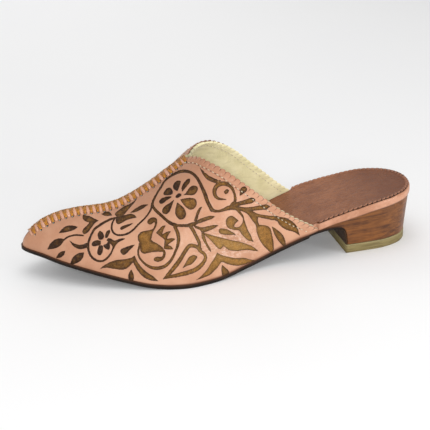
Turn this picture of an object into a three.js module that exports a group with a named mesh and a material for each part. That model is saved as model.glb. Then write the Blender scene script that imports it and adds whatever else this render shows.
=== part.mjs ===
// Babouche slipper for the left foot: a two-part leather vamp with a raised centre seam,
// a leather insole with an edge strip, a thin outsole and a low wooden heel.
// Millimetres. +X points to the toe, +Y to the wearer's left (the outer side), +Z up.
// The shoe stands on the plane z = 0, and the origin is under the middle of its box.
import * as THREE from 'three';

// Driving dimensions
const shoeLength = 254;
const wallThickness = 2.0;
const soleThickness = 2.2;
const waistThickness = 1.6;
const flapThickness = 0.8;
const waistInset = 1.6;
const upperMargin = 0.8;
const gap = 0.3;
const breastAt = 49.8;
const liftFront = breastAt + 0.3 + flapThickness;
const wedgeFront = 73.2;
const soleStepAt = 77;
const flatBack = 146;
const flatFront = 168;
const liftHeight = 5.6;
const heelInsetTop = 0.6;
const heelInsetFoot = 1.7;
const heelBackSlope = 1.5;
const randThickness = 1.6;
const randLateralEnd = 70.4;
const randMedialEnd = 71.8;
const toeAllowance = 1.3;
const toeAllowanceFrom = 196;
const ribHalfWidth = 2.3;
const ribHeight = 2.1;
const ribRearHeight = 1.2;
const ribFadeLength = 14;
const throatAt = 149;

// Outer edge of the sole, as distances from the centre line at stations from the heel back.
const outlineRows = [
  { at: 0, lateral: 0, medial: 0 },
  { at: 4, lateral: 13.8, medial: 14.6 },
  { at: 12, lateral: 21.8, medial: 22.8 },
  { at: 28, lateral: 27.0, medial: 28.6 },
  { at: 52, lateral: 28.2, medial: 29.6 },
  { at: 78, lateral: 28.8, medial: 28.6 },
  { at: 98, lateral: 30.2, medial: 27.4 },
  { at: 118, lateral: 34.8, medial: 28.6 },
  { at: 140, lateral: 43.0, medial: 34.0 },
  { at: 158, lateral: 46.2, medial: 38.4 },
  { at: 178, lateral: 42.4, medial: 39.6 },
  { at: 196, lateral: 36.0, medial: 36.8 },
  { at: 214, lateral: 28.4, medial: 31.0 },
  { at: 230, lateral: 20.3, medial: 22.8 },
  { at: 243, lateral: 11.4, medial: 14.4 },
  { at: 254, lateral: 0, medial: 0 },
];

// The toe swings a little to the inner side.
const centreRows = [
  { at: 180, shift: 0 },
  { at: 210, shift: -0.6 },
  { at: 235, shift: -2.2 },
  { at: 254, shift: -4.0 },
];

// Height of the bed that insole, edge strip and vamp rest on, at the outer edge,
// how much higher it is at the inner edge, and the thickness of the insole on it.
const bedRows = [
  { at: 0, height: 31.4, archRise: 0.4, insole: 4.9 },
  { at: 28, height: 28.2, archRise: 1.2, insole: 4.9 },
  { at: 48, height: 24.2, archRise: 2.2, insole: 4.9 },
  { at: 60, height: 21.9, archRise: 3.0, insole: 4.3 },
  { at: 68, height: 19.7, archRise: 3.5, insole: 4.3 },
  { at: 75, height: 17.4, archRise: 3.8, insole: 4.3 },
  { at: 82, height: 15.2, archRise: 3.8, insole: 4.3 },
  { at: 92, height: 12.0, archRise: 3.3, insole: 4.1 },
  { at: 102, height: 8.9, archRise: 2.6, insole: 3.8 },
  { at: 117, height: 5.2, archRise: 1.4, insole: 3.3 },
  { at: 131, height: 3.1, archRise: 0.4, insole: 2.8 },
  { at: 146, height: 2.2, archRise: 0, insole: 2.5 },
  { at: 168, height: 2.2, archRise: 0, insole: 2.5 },
  { at: 180, height: 3.2, archRise: 0, insole: 2.5 },
  { at: 191, height: 5.3, archRise: 0, insole: 2.5 },
  { at: 200, height: 7.4, archRise: 0, insole: 2.5 },
  { at: 210, height: 9.8, archRise: 0, insole: 2.5 },
  { at: 220, height: 12.2, archRise: 0, insole: 2.5 },
  { at: 232, height: 15.0, archRise: 0, insole: 2.5 },
  { at: 244, height: 17.9, archRise: 0, insole: 2.5 },
  { at: 254, height: 19.8, archRise: 0, insole: 2.5 },
];

// Cross-sections of the vamp: the height of its ridge, and how full each side is
// (2 is an ellipse, more is squarer). Behind the throat the ridge is the form of the
// instep that the open collar is cut from.
const vampRows = [
  { at: 70, ridge: 96, lateral: 2.2, medial: 2.5 },
  { at: 100, ridge: 88, lateral: 2.2, medial: 2.6 },
  { at: 117, ridge: 82, lateral: 2.2, medial: 2.7 },
  { at: 131, ridge: 76.2, lateral: 2.15, medial: 2.75 },
  { at: 138, ridge: 73.2, lateral: 2.1, medial: 2.75 },
  { at: 144, ridge: 70.0, lateral: 2.1, medial: 2.7 },
  { at: 150, ridge: 66.2, lateral: 2.1, medial: 2.35 },
  { at: 154, ridge: 63.4, lateral: 2.1, medial: 2.15 },
  { at: 160, ridge: 59.3, lateral: 2.1, medial: 2.0 },
  { at: 166, ridge: 55.1, lateral: 2.05, medial: 1.9 },
  { at: 174, ridge: 50.3, lateral: 2.0, medial: 1.85 },
  { at: 184, ridge: 45.2, lateral: 2.0, medial: 1.85 },
  { at: 194, ridge: 41.3, lateral: 1.95, medial: 1.85 },
  { at: 204, ridge: 39.8, lateral: 1.95, medial: 1.85 },
  { at: 214, ridge: 39.6, lateral: 1.95, medial: 1.9 },
  { at: 226, ridge: 38.4, lateral: 2.0, medial: 1.95 },
  { at: 238, ridge: 34.6, lateral: 2.1, medial: 2.1 },
  { at: 247, ridge: 29.6, lateral: 2.2, medial: 2.2 },
  { at: 254, ridge: 20.1, lateral: 2.2, medial: 2.2 },
];

// The collar: for each part of the way up from the sole to the ridge, the station where
// the vamp ends on the outer and on the inner side.
const collarRows = [
  { at: 0, lateral: 71.0, medial: 72.5 },
  { at: 0.05, lateral: 77.6, medial: 79.5 },
  { at: 0.1, lateral: 84.4, medial: 85.2 },
  { at: 0.15, lateral: 90.4, medial: 89.8 },
  { at: 0.2, lateral: 95.8, medial: 94.4 },
  { at: 0.3, lateral: 105.0, medial: 102.8 },
  { at: 0.4, lateral: 113.3, medial: 109.8 },
  { at: 0.5, lateral: 120.6, medial: 116.6 },
  { at: 0.6, lateral: 126.7, medial: 122.9 },
  { at: 0.7, lateral: 132.4, medial: 128.6 },
  { at: 0.8, lateral: 137.5, medial: 134.6 },
  { at: 0.9, lateral: 141.5, medial: 140.6 },
  { at: 1, lateral: 146.2, medial: 146.2 },
];

// Underside of the wood, from the tip of its wedge back and down the heel breast.
const breastRows = [
  { at: 76.5, height: 16.6 },
  { at: 70, height: 18.2 },
  { at: 64, height: 19.2 },
  { at: 59, height: 19.4 },
  { at: 55, height: 18.9 },
  { at: 53, height: 17.9 },
  { at: 51.6, height: 16.2 },
  { at: 50.7, height: 13.8 },
  { at: 50.2, height: 10.2 },
  { at: breastAt, height: liftHeight + gap },
];

const upperLength = shoeLength - upperMargin;
const heelFoot = liftHeight + gap;

// ---------------------------------------------------------------- curves and tables

// Angle that runs from 0 at the heel back to PI at the toe tip. Against it, a width that
// grows like the root of the distance from an end is a straight line, so ends are round.
function stationAngle(at) {
  const along = THREE.MathUtils.clamp(at / shoeLength, 0, 1);
  return Math.acos(1 - 2 * along);
}

function stationAt(angle) {
  return shoeLength * (1 - Math.cos(angle)) / 2;
}

// Slope at each row that keeps a smooth curve between rows free of overshoot.
function rowSlopes(xs, ys) {
  const steps = xs.slice(1).map((x, i) => (ys[i + 1] - ys[i]) / (x - xs[i]));
  const slopes = [steps[0]];
  for (let i = 1; i < steps.length; i += 1) {
    const product = steps[i - 1] * steps[i];
    slopes.push(product <= 0 ? 0 : 2 * product / (steps[i - 1] + steps[i]));
  }
  slopes.push(steps[steps.length - 1]);
  return slopes;
}

// A function that reads one column of a table at any station, smoothly.
function columnCurve(rows, column, warp = (value) => value) {
  const xs = rows.map((row) => warp(row.at));
  const ys = rows.map((row) => row[column]);
  const slopes = rowSlopes(xs, ys);
  return (at) => {
    const x = THREE.MathUtils.clamp(warp(at), xs[0], xs[xs.length - 1]);
    let i = 0;
    while (i < xs.length - 2 && x > xs[i + 1]) {
      i += 1;
    }
    const span = xs[i + 1] - xs[i];
    const t = (x - xs[i]) / span;
    const u = 1 - t;
    const values = ys[i] * u * u * (1 + 2 * t) + ys[i + 1] * t * t * (3 - 2 * t);
    return values + span * (slopes[i] * t * u * u - slopes[i + 1] * t * t * u);
  };
}

const halfWidth = {
  lateral: columnCurve(outlineRows, 'lateral', stationAngle),
  medial: columnCurve(outlineRows, 'medial', stationAngle),
};
const centreShift = columnCurve(centreRows, 'shift');
const bedHeight = columnCurve(bedRows, 'height');
const archRise = columnCurve(bedRows, 'archRise');
const insoleThickness = columnCurve(bedRows, 'insole');
const ridgeHeight = columnCurve(vampRows, 'ridge', stationAngle);
const fullness = {
  lateral: columnCurve(vampRows, 'lateral'),
  medial: columnCurve(vampRows, 'medial'),
};
const collarEnd = {
  lateral: columnCurve(collarRows, 'lateral'),
  medial: columnCurve(collarRows, 'medial'),
};
const sign = { lateral: 1, medial: -1 };

// Share of the arch rise at a place across the sole: none at the outer edge, all at the inner.
function archShare(at, across) {
  const lateral = halfWidth.lateral(at);
  const width = lateral + halfWidth.medial(at);
  if (width < 1) {
    return 0;
  }
  return THREE.MathUtils.clamp((lateral - across) / width, 0, 1);
}

function bedAt(at, across) {
  return bedHeight(at) + archRise(at) * archShare(at, across);
}

// A point of the sole's edge, moved inward by an inset. The angle is a station angle.
function edgePoint(side, angle, inset) {
  const step = 0.002;
  const place = (value) => {
    const at = stationAt(value);
    return new THREE.Vector2(at, centreShift(at) + sign[side] * halfWidth[side](at));
  };
  const inner = THREE.MathUtils.clamp(angle, step, Math.PI - step);
  const tangent = place(inner + step).sub(place(inner - step)).normalize();
  const inward = new THREE.Vector2(tangent.y, -tangent.x).multiplyScalar(sign[side]);
  const atEnd = angle < step || angle > Math.PI - step;
  if (atEnd) {
    inward.set(angle < step ? 1 : -1, 0);
  }
  return place(angle).addScaledVector(inward, inset);
}

// ---------------------------------------------------------------- meshes

// Collects triangles between named points and drops the ones that a pole collapses.
class Skin {
  constructor() {
    this.positions = [];
  }

  triangle(a, b, c) {
    const same = 1e-4;
    if (a.distanceTo(b) < same || b.distanceTo(c) < same || c.distanceTo(a) < same) {
      return;
    }
    this.positions.push(...a.toArray(), ...b.toArray(), ...c.toArray());
  }

  quad(a, b, c, d) {
    this.triangle(a, b, c);
    this.triangle(a, c, d);
  }

  // Joins rows of points that have the same count.
  grid(rows) {
    for (let i = 0; i + 1 < rows.length; i += 1) {
      for (let j = 0; j + 1 < rows[i].length; j += 1) {
        this.quad(rows[i][j], rows[i + 1][j], rows[i + 1][j + 1], rows[i][j + 1]);
      }
    }
  }

  // The closed geometry, turned inside out if its faces point in.
  geometry() {
    const list = this.positions;
    let volume = 0;
    const [a, b, c] = [new THREE.Vector3(), new THREE.Vector3(), new THREE.Vector3()];
    for (let i = 0; i < list.length; i += 9) {
      a.fromArray(list, i);
      b.fromArray(list, i + 3);
      c.fromArray(list, i + 6);
      volume += a.dot(b.cross(c));
    }
    if (volume < 0) {
      for (let i = 0; i < list.length; i += 9) {
        const second = list.slice(i + 3, i + 6);
        list.splice(i + 3, 3, ...list.slice(i + 6, i + 9));
        list.splice(i + 6, 3, ...second);
      }
    }
    const geometry = new THREE.BufferGeometry();
    geometry.setAttribute('position', new THREE.Float32BufferAttribute(list, 3));
    geometry.computeVertexNormals();
    return geometry;
  }
}

// A solid through closed rings of points: its skin runs from ring to ring, and the first
// and last ring are closed by a strip across, which suits rings that are long and narrow.
function ringSolid(rings) {
  const skin = new Skin();
  skin.grid(rings.map((ring) => [...ring, ring[0]]));
  for (const [ring, turned] of [[rings[0], false], [rings[rings.length - 1], true]]) {
    let [low, high] = [0, ring.length - 1];
    while (high - low > 1) {
      const next = [low + 1, high - 1];
      const [a, b, c, d] = [ring[low], ring[next[0]], ring[next[1]], ring[high]];
      if (turned) {
        skin.quad(d, c, b, a);
      } else {
        skin.quad(a, b, c, d);
      }
      [low, high] = next;
    }
  }
  return skin.geometry();
}

// ---------------------------------------------------------------- vamp

// Half width of the vamp's foot on the sole, just inside the sole's edge.
function vampHalfWidth(side, at) {
  const stretched = at * shoeLength / upperLength;
  const margin = upperMargin * Math.sqrt(THREE.MathUtils.clamp((upperLength - at) / 10, 0, 1));
  return Math.max(halfWidth[side](stretched) - margin, 0);
}

function vampFoot(side, at) {
  const edge = side === 'medial' ? archRise(at) : 0;
  return bedHeight(at) + edge + gap;
}

// A point of the vamp's skin. The turn runs from 0 at the sole to PI / 2 at the ridge.
function vampPoint(side, at, turn) {
  const power = 2 / fullness[side](at);
  const foot = vampFoot(side, at);
  const rise = Math.max(ridgeHeight(at * shoeLength / upperLength) - foot, 0);
  const across = vampHalfWidth(side, at) * Math.pow(Math.max(Math.cos(turn), 0), power);
  const height = foot + rise * Math.pow(Math.sin(turn), power);
  return new THREE.Vector3(at, centreShift(at) + sign[side] * across, height);
}

// Turn at which the skin is a given distance from the ridge.
function turnBeside(side, at, distance) {
  const share = Math.min(distance / Math.max(vampHalfWidth(side, at), 0.01), 1);
  return Math.acos(Math.pow(share, fullness[side](at) / 2));
}

// The raised seam narrows towards the toe tip and lies lower at the throat.
function ribWidthAt(side, at) {
  return Math.min(ribHalfWidth, 0.3 * vampHalfWidth(side, at));
}

function ribHeightAt(at) {
  const toeFade = THREE.MathUtils.clamp((upperLength - 1 - at) / ribFadeLength, 0, 1);
  const throatFade = THREE.MathUtils.clamp((at - throatAt) / ribFadeLength, 0, 1);
  return THREE.MathUtils.lerp(ribRearHeight, ribHeight, throatFade) * toeFade;
}

// Lines that run along the vamp from the collar to the toe. Outside the seam a line keeps
// its share of the way up, and on the seam it keeps its share of the seam's width.
function vampColumns(countPerSide) {
  const shares = [];
  for (let j = 0; j <= countPerSide; j += 1) {
    shares.push({ up: j / countPerSide, beside: 1, lift: 0 });
  }
  shares.push({ up: 1, beside: 0.66, lift: 0.8 });
  const lateral = shares.map((share) => ({ side: 'lateral', ...share }));
  const medial = shares.map((share) => ({ side: 'medial', ...share })).reverse();
  return [...lateral, { side: 'lateral', up: 1, beside: 0, lift: 1 }, ...medial];
}

function columnTurn(column, at) {
  const beside = ribWidthAt(column.side, at) * column.beside;
  return turnBeside(column.side, at, beside) * column.up;
}

function columnStart(column) {
  const side = collarEnd[column.side](column.up);
  return THREE.MathUtils.lerp(throatAt, side, column.beside);
}

// Skin of the vamp as rows of points from the collar to the tip, without the seam's height.
function vampRowsOfPoints(columns, rowCount) {
  const rows = [];
  for (let i = 0; i <= rowCount; i += 1) {
    const left = Math.pow(1 - i / rowCount, 1.7);
    rows.push(columns.map((column) => {
      const start = columnStart(column);
      const at = upperLength - (upperLength - start) * left;
      return vampPoint(column.side, at, columnTurn(column, at));
    }));
  }
  return rows;
}

// Outward direction of a grid of points, from the neighbours of each.
function gridNormal(rows, i, j) {
  const last = rows.length - 1;
  const along = rows[Math.min(i + 1, last)][j].clone().sub(rows[Math.max(i - 1, 0)][j]);
  const width = rows[i].length - 1;
  const across = rows[i][Math.min(j + 1, width)].clone().sub(rows[i][Math.max(j - 1, 0)]);
  return across.cross(along).normalize();
}

function makeVamp() {
  const columns = vampColumns(15);
  const rowCount = 34;
  const plain = vampRowsOfPoints(columns, rowCount);
  const outer = [];
  const inner = [];
  plain.forEach((row, i) => {
    const tip = i === rowCount;
    const normals = row.map((_, j) => (tip ? new THREE.Vector3(1, 0, 0) : gridNormal(plain, i, j)));
    outer.push(row.map((point, j) => {
      const lift = tip ? 0 : ribHeightAt(point.x) * columns[j].lift;
      return point.clone().addScaledVector(normals[j], lift);
    }));
    inner.push(row.map((point, j) => {
      const inside = point.clone().addScaledVector(normals[j], -wallThickness);
      const onSole = j === 0 || j === row.length - 1;
      if (onSole || tip) {
        inside.z = point.z;
      }
      return inside;
    }));
  });
  const skin = new Skin();
  skin.grid(outer);
  skin.grid(inner.map((row) => [...row].reverse()));
  skin.grid([inner[0], outer[0]]);
  const lastColumn = columns.length - 1;
  skin.grid([outer.map((row) => row[0]), inner.map((row) => row[0])]);
  skin.grid([inner.map((row) => row[lastColumn]), outer.map((row) => row[lastColumn])]);
  return skin.geometry();
}

// ---------------------------------------------------------------- sole parts

// Stations between two places, evenly spaced by station angle.
function anglesBetween(from, to, count) {
  const [start, end] = [stationAngle(from), stationAngle(to)];
  return Array.from({ length: count + 1 }, (_, k) => start + (end - start) * k / count);
}

// Four corners of a slab across the shoe: outer low, outer high, inner high, inner low.
function slabRing(lateral, medial, low, high) {
  return [
    new THREE.Vector3(lateral.x, lateral.y, low(lateral)),
    new THREE.Vector3(lateral.x, lateral.y, high(lateral)),
    new THREE.Vector3(medial.x, medial.y, high(medial)),
    new THREE.Vector3(medial.x, medial.y, low(medial)),
  ];
}

function insoleInset(side, at) {
  const behindVamp = randThickness + gap;
  const insideVamp = upperMargin + wallThickness + gap + 0.1;
  const end = side === 'lateral' ? randLateralEnd : randMedialEnd;
  const share = THREE.MathUtils.smoothstep(at, end - 2.5, end);
  const toeShare = THREE.MathUtils.smoothstep(at, toeAllowanceFrom, shoeLength);
  return THREE.MathUtils.lerp(behindVamp, insideVamp, share) + toeAllowance * toeShare;
}

function makeInsole() {
  const angles = [
    ...anglesBetween(0, 64, 16),
    ...anglesBetween(66, 74, 8),
    ...anglesBetween(78, shoeLength, 30),
  ];
  const rings = angles.map((angle) => {
    const at = stationAt(angle);
    const lateral = edgePoint('lateral', angle, insoleInset('lateral', at));
    const medial = edgePoint('medial', angle, insoleInset('medial', at));
    const low = (place) => bedAt(place.x, place.y) + gap;
    const high = (place) => low(place) + insoleThickness(place.x);
    return slabRing(lateral, medial, low, high);
  });
  return ringSolid(rings);
}

function randTop(place) {
  return bedAt(place.x, place.y) + insoleThickness(place.x) + gap;
}

function makeRand() {
  const lateral = anglesBetween(randLateralEnd, 0, 16).map((angle) => ['lateral', angle]);
  const medial = anglesBetween(0, randMedialEnd, 16).slice(1).map((angle) => ['medial', angle]);
  const rings = [...lateral, ...medial].map(([side, angle]) => {
    const outer = edgePoint(side, angle, 0);
    const inner = edgePoint(side, angle, randThickness);
    const low = (place) => bedAt(place.x, place.y) + gap;
    return slabRing(outer, inner, low, randTop);
  });
  return ringSolid(rings);
}

const breastCurve = new THREE.CatmullRomCurve3(
  breastRows.map((row) => new THREE.Vector3(row.at, 0, row.height)),
);

// The arch rise dies out down the heel breast.
function breastRise(at, height) {
  return archRise(at) * THREE.MathUtils.smoothstep(height, heelFoot, 18);
}

function heelEdge(side, angle, inset, shift) {
  const place = edgePoint(side, angle, inset);
  place.x += shift;
  return place;
}

function makeHeel() {
  const rings = [];
  for (const angle of anglesBetween(0, breastAt, 14)) {
    const at = stationAt(angle);
    const shift = heelBackSlope * (1 - at / breastAt);
    rings.push(heelRing(angle, angle, shift, () => heelFoot));
  }
  const steps = 13;
  for (let k = 1; k <= steps; k += 1) {
    const foot = breastCurve.getPoint(1 - (0.94 * k) / steps);
    const topAt = THREE.MathUtils.lerp(breastAt, wedgeFront, Math.pow(k / steps, 1.2));
    const footAt = Math.min(foot.x, wedgeFront);
    const rise = breastRise(footAt, foot.z);
    const low = (place) => foot.z + rise * archShare(footAt, place.y);
    rings.push(heelRing(stationAngle(topAt), stationAngle(footAt), 0, low));
  }
  return ringSolid(rings);
}

// One ring of the heel: its top edge follows the bed, and its foot edge is drawn in.
function heelRing(topAngle, footAngle, shift, low) {
  const ring = [];
  for (const side of ['lateral', 'medial']) {
    const top = heelEdge(side, topAngle, heelInsetTop, 0);
    const foot = heelEdge(side, footAngle, heelInsetFoot, shift);
    const corners = [
      new THREE.Vector3(foot.x, foot.y, low(foot)),
      new THREE.Vector3(top.x, top.y, bedAt(top.x, top.y)),
    ];
    ring.push(...(side === 'lateral' ? corners : corners.reverse()));
  }
  return ring;
}

function makeTopLift() {
  const rings = anglesBetween(0, liftFront, 16).map((angle) => {
    const at = stationAt(angle);
    const shift = heelBackSlope * Math.max(1 - at / breastAt, 0);
    const lateral = heelEdge('lateral', angle, heelInsetFoot, shift);
    const medial = heelEdge('medial', angle, heelInsetFoot, shift);
    return slabRing(lateral, medial, () => 0, () => liftHeight);
  });
  return ringSolid(rings);
}

// The outsole runs from the toe to the waist, narrows there, and turns down the breast.
function makeOutsole() {
  const angles = [
    ...anglesBetween(shoeLength, flatFront, 20),
    ...anglesBetween(flatFront, flatBack, 3).slice(1),
    ...anglesBetween(flatBack, soleStepAt, 16).slice(1),
  ];
  const forepart = angles.map((angle) => {
    const lateral = edgePoint('lateral', angle, 0);
    const medial = edgePoint('medial', angle, 0);
    const high = (place) => bedAt(place.x, place.y);
    const low = (place) => high(place) - soleThickness;
    return slabRing(lateral, medial, low, high);
  });
  const steps = 16;
  const waist = [];
  for (let k = 1; k <= steps; k += 1) {
    const t = 0.03 + 0.97 * k / steps;
    const along = breastCurve.getTangent(t);
    const outward = new THREE.Vector3(-along.z, 0, along.x).normalize();
    const wood = breastCurve.getPoint(t);
    const upperFace = wood.clone().addScaledVector(outward, gap);
    const thickness = THREE.MathUtils.lerp(
      waistThickness, flapThickness, THREE.MathUtils.smoothstep(t, 0.45, 0.75),
    );
    const lowerFace = wood.clone().addScaledVector(outward, gap + thickness);
    waist.push(waistRing(upperFace, lowerFace));
  }
  return ringSolid([...forepart, ...waist]);
}

function waistRing(upperFace, lowerFace) {
  const ring = [];
  for (const side of ['lateral', 'medial']) {
    const corners = [lowerFace, upperFace].map((face) => {
      const edge = edgePoint(side, stationAngle(face.x), waistInset);
      const rise = breastRise(face.x, face.z) * archShare(face.x, edge.y);
      return new THREE.Vector3(face.x, edge.y, face.z + rise);
    });
    ring.push(...(side === 'lateral' ? corners : corners.reverse()));
  }
  return ring;
}

// ---------------------------------------------------------------- assembly

const finishes = {
  upper: { color: 0xd9967a, roughness: 0.5, metalness: 0 },
  insole: { color: 0xa9705c, roughness: 0.55, metalness: 0 },
  rand: { color: 0xd6997c, roughness: 0.5, metalness: 0 },
  outsole: { color: 0x2a211d, roughness: 0.6, metalness: 0 },
  heel: { color: 0x8a5426, roughness: 0.45, metalness: 0 },
  top_lift: { color: 0x7d7350, roughness: 0.7, metalness: 0 },
};

const pieces = {
  upper: makeVamp(),
  insole: makeInsole(),
  rand: makeRand(),
  outsole: makeOutsole(),
  heel: makeHeel(),
  top_lift: makeTopLift(),
};

const slipper = new THREE.Group();
const widest = (side) => Math.max(...outlineRows.map((row) => row[side]));
const middleAcross = (widest('lateral') - widest('medial')) / 2;
slipper.position.set(-shoeLength / 2, -middleAcross, 0);
for (const [name, geometry] of Object.entries(pieces)) {
  const mesh = new THREE.Mesh(geometry, new THREE.MeshStandardMaterial(finishes[name]));
  mesh.name = name;
  slipper.add(mesh);
}

export default slipper;
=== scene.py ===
import math

import bpy
import bmesh
import numpy as np
from mathutils import Matrix, Vector


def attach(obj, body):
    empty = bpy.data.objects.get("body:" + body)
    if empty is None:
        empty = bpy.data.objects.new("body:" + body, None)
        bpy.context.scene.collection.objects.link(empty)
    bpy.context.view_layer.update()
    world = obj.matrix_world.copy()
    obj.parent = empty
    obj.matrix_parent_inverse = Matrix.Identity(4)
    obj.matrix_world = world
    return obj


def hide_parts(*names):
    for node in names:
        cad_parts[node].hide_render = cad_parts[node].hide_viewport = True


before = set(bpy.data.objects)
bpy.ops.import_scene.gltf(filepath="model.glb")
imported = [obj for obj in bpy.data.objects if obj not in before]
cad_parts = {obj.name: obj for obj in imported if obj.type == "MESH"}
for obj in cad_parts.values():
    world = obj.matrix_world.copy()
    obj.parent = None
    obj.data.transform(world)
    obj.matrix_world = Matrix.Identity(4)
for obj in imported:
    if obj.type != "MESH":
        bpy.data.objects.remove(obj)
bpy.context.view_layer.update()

print("frame loaded")

# The shoe is worked out in millimetres: along from the heel back, across to the outer side, up.
shoe = {
    "length": 254.0,
    "upperMargin": 0.8,      # the vamp stands this far inside the sole's edge
    "gap": 0.3,
    "throatAt": 149.0,
    "ribHalfWidth": 2.3,
    "ribHeight": 2.1,
    "ribRearHeight": 1.2,
    "ribFade": 14.0,
    "middleAcross": 3.3,
}
signOf = {"lateral": 1, "medial": -1}

soleOutline = {
    "at": [0, 4, 12, 28, 52, 78, 98, 118, 140, 158, 178, 196, 214, 230, 243, 254],
    "lateral": [0, 13.8, 21.8, 27, 28.2, 28.8, 30.2, 34.8, 43, 46.2, 42.4, 36, 28.4, 20.3, 11.4, 0],
    "medial": [0, 14.6, 22.8, 28.6, 29.6, 28.6, 27.4, 28.6, 34, 38.4, 39.6, 36.8, 31, 22.8, 14.4, 0],
}
centreLine = {"at": [180, 210, 235, 254], "shift": [0, -0.6, -2.2, -4]}
bed = {
    "at": [0, 28, 48, 60, 68, 75, 82, 92, 102, 117, 131,
           146, 168, 180, 191, 200, 210, 220, 232, 244, 254],
    "height": [31.4, 28.2, 24.2, 21.9, 19.7, 17.4, 15.2, 12, 8.9, 5.2, 3.1,
               2.2, 2.2, 3.2, 5.3, 7.4, 9.8, 12.2, 15, 17.9, 19.8],
    "archRise": [0.4, 1.2, 2.2, 3, 3.5, 3.8, 3.8, 3.3, 2.6, 1.4, 0.4, 0, 0, 0, 0, 0, 0, 0, 0, 0, 0],
    "insole": [4.9, 4.9, 4.9, 4.3, 4.3, 4.3, 4.3, 4.1, 3.8, 3.3, 2.8] + [2.5] * 10,
}
vampForm = {
    "at": [70, 100, 117, 131, 138, 144, 150, 154, 160, 166, 174, 184, 194, 204, 214, 226, 238, 247, 254],
    "ridge": [96, 88, 82, 76.2, 73.2, 70, 66.2, 63.4, 59.3, 55.1, 50.3, 45.2, 41.3, 39.8, 39.6,
              38.4, 34.6, 29.6, 20.1],
    "lateral": [2.2, 2.2, 2.2, 2.15, 2.1, 2.1, 2.1, 2.1, 2.1, 2.05, 2, 2, 1.95, 1.95, 1.95,
                2, 2.1, 2.2, 2.2],
    "medial": [2.5, 2.6, 2.7, 2.75, 2.75, 2.7, 2.35, 2.15, 2, 1.9, 1.85, 1.85, 1.85, 1.85, 1.9,
               1.95, 2.1, 2.2, 2.2],
}
collar = {   # for each share of the way up from sole to ridge, where the vamp ends
    "at": [0, 0.05, 0.1, 0.15, 0.2, 0.3, 0.4, 0.5, 0.6, 0.7, 0.8, 0.9, 1],
    "lateral": [69.9, 77.2, 84.3, 90.4, 95.8, 105, 113.3, 120.6, 126.7, 132.4, 137.5, 141.5, 146.2],
    "medial": [71.3, 79, 85, 89.8, 94.4, 102.8, 109.8, 116.6, 122.9, 128.6, 134.6, 140.6, 146.2],
}


def stationAngle(at):
    return np.arccos(1 - 2 * np.clip(np.asarray(at, float) / shoe["length"], 0, 1))


def stationAt(angle):
    return shoe["length"] * (1 - np.cos(angle)) / 2


def readCurve(table, column, at, byAngle=False):
    warp = stationAngle if byAngle else (lambda value: np.asarray(value, float))
    xs = warp(table["at"])
    ys = np.array(table[column], float)
    steps = np.diff(ys) / np.diff(xs)
    slopes = np.concatenate([steps[:1], np.zeros(len(xs) - 2), steps[-1:]])
    product = steps[:-1] * steps[1:]
    total = np.where(product > 0, steps[:-1] + steps[1:], 1)
    slopes[1:-1] = np.where(product > 0, 2 * product / total, 0)
    x = np.clip(warp(at), xs[0], xs[-1])
    i = np.clip(np.searchsorted(xs, x, side="right") - 1, 0, len(xs) - 2)
    span = xs[i + 1] - xs[i]
    t = (x - xs[i]) / span
    u = 1 - t
    plain = ys[i] * u * u * (1 + 2 * t) + ys[i + 1] * t * t * (3 - 2 * t)
    return plain + span * (slopes[i] * t * u * u - slopes[i + 1] * t * t * u)


def smoothStep(value, low, high):
    t = np.clip((np.asarray(value, float) - low) / (high - low), 0, 1)
    return t * t * (3 - 2 * t)


def halfWidth(side, at):
    return readCurve(soleOutline, side, at, True)


def centreShift(at):
    return readCurve(centreLine, "shift", at)


def bedAt(at, across):
    lateral = halfWidth("lateral", at)
    width = np.maximum(lateral + halfWidth("medial", at), 1)
    share = np.clip((lateral - across) / width, 0, 1)
    return readCurve(bed, "height", at) + readCurve(bed, "archRise", at) * share


def edgeLine(side, angle, inset=0.0):
    # the sole's edge at station angles, moved inward
    angle = np.atleast_1d(np.asarray(angle, float))
    step = 0.002
    inner = np.clip(angle, step, math.pi - step)

    def place(value):
        at = stationAt(value)
        return np.stack([at, centreShift(at) + signOf[side] * halfWidth(side, at)], -1)

    tangent = place(inner + step) - place(inner - step)
    tangent /= np.linalg.norm(tangent, axis=-1, keepdims=True)
    inward = np.stack([tangent[:, 1], -tangent[:, 0]], -1) * signOf[side]
    inward[angle < step] = (1, 0)
    inward[angle > math.pi - step] = (-1, 0)
    return place(angle) + inward * np.broadcast_to(inset, angle.shape)[:, None]


def vampHalfWidth(side, at):
    upperLength = shoe["length"] - shoe["upperMargin"]
    stretched = at * shoe["length"] / upperLength
    margin = shoe["upperMargin"] * np.sqrt(np.clip((upperLength - at) / 10, 0, 1))
    return np.maximum(halfWidth(side, stretched) - margin, 0)


def vampPoint(side, at, turn):
    power = 2 / readCurve(vampForm, side, at)
    edge = readCurve(bed, "archRise", at) if side == "medial" else 0
    foot = readCurve(bed, "height", at) + edge + shoe["gap"]
    upperLength = shoe["length"] - shoe["upperMargin"]
    rise = np.maximum(readCurve(vampForm, "ridge", at * shoe["length"] / upperLength, True) - foot, 0)
    across = vampHalfWidth(side, at) * np.maximum(np.cos(turn), 0) ** power
    height = foot + rise * np.maximum(np.sin(turn), 0) ** power
    return np.stack([at, centreShift(at) + signOf[side] * across, height], -1)


def turnBeside(side, at, distance):
    # turn at which the skin is a given distance from the ridge line
    share = np.minimum(distance / np.maximum(vampHalfWidth(side, at), 0.01), 1)
    return np.arccos(share ** (readCurve(vampForm, side, at) / 2))


def ribWidth(side, at):
    return np.minimum(shoe["ribHalfWidth"], 0.3 * vampHalfWidth(side, at))


def ribLift(at):
    upperLength = shoe["length"] - shoe["upperMargin"]
    toeFade = np.clip((upperLength - 1 - at) / shoe["ribFade"], 0, 1)
    throatFade = np.clip((at - shoe["throatAt"]) / shoe["ribFade"], 0, 1)
    return (shoe["ribRearHeight"] + (shoe["ribHeight"] - shoe["ribRearHeight"]) * throatFade) * toeFade


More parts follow.
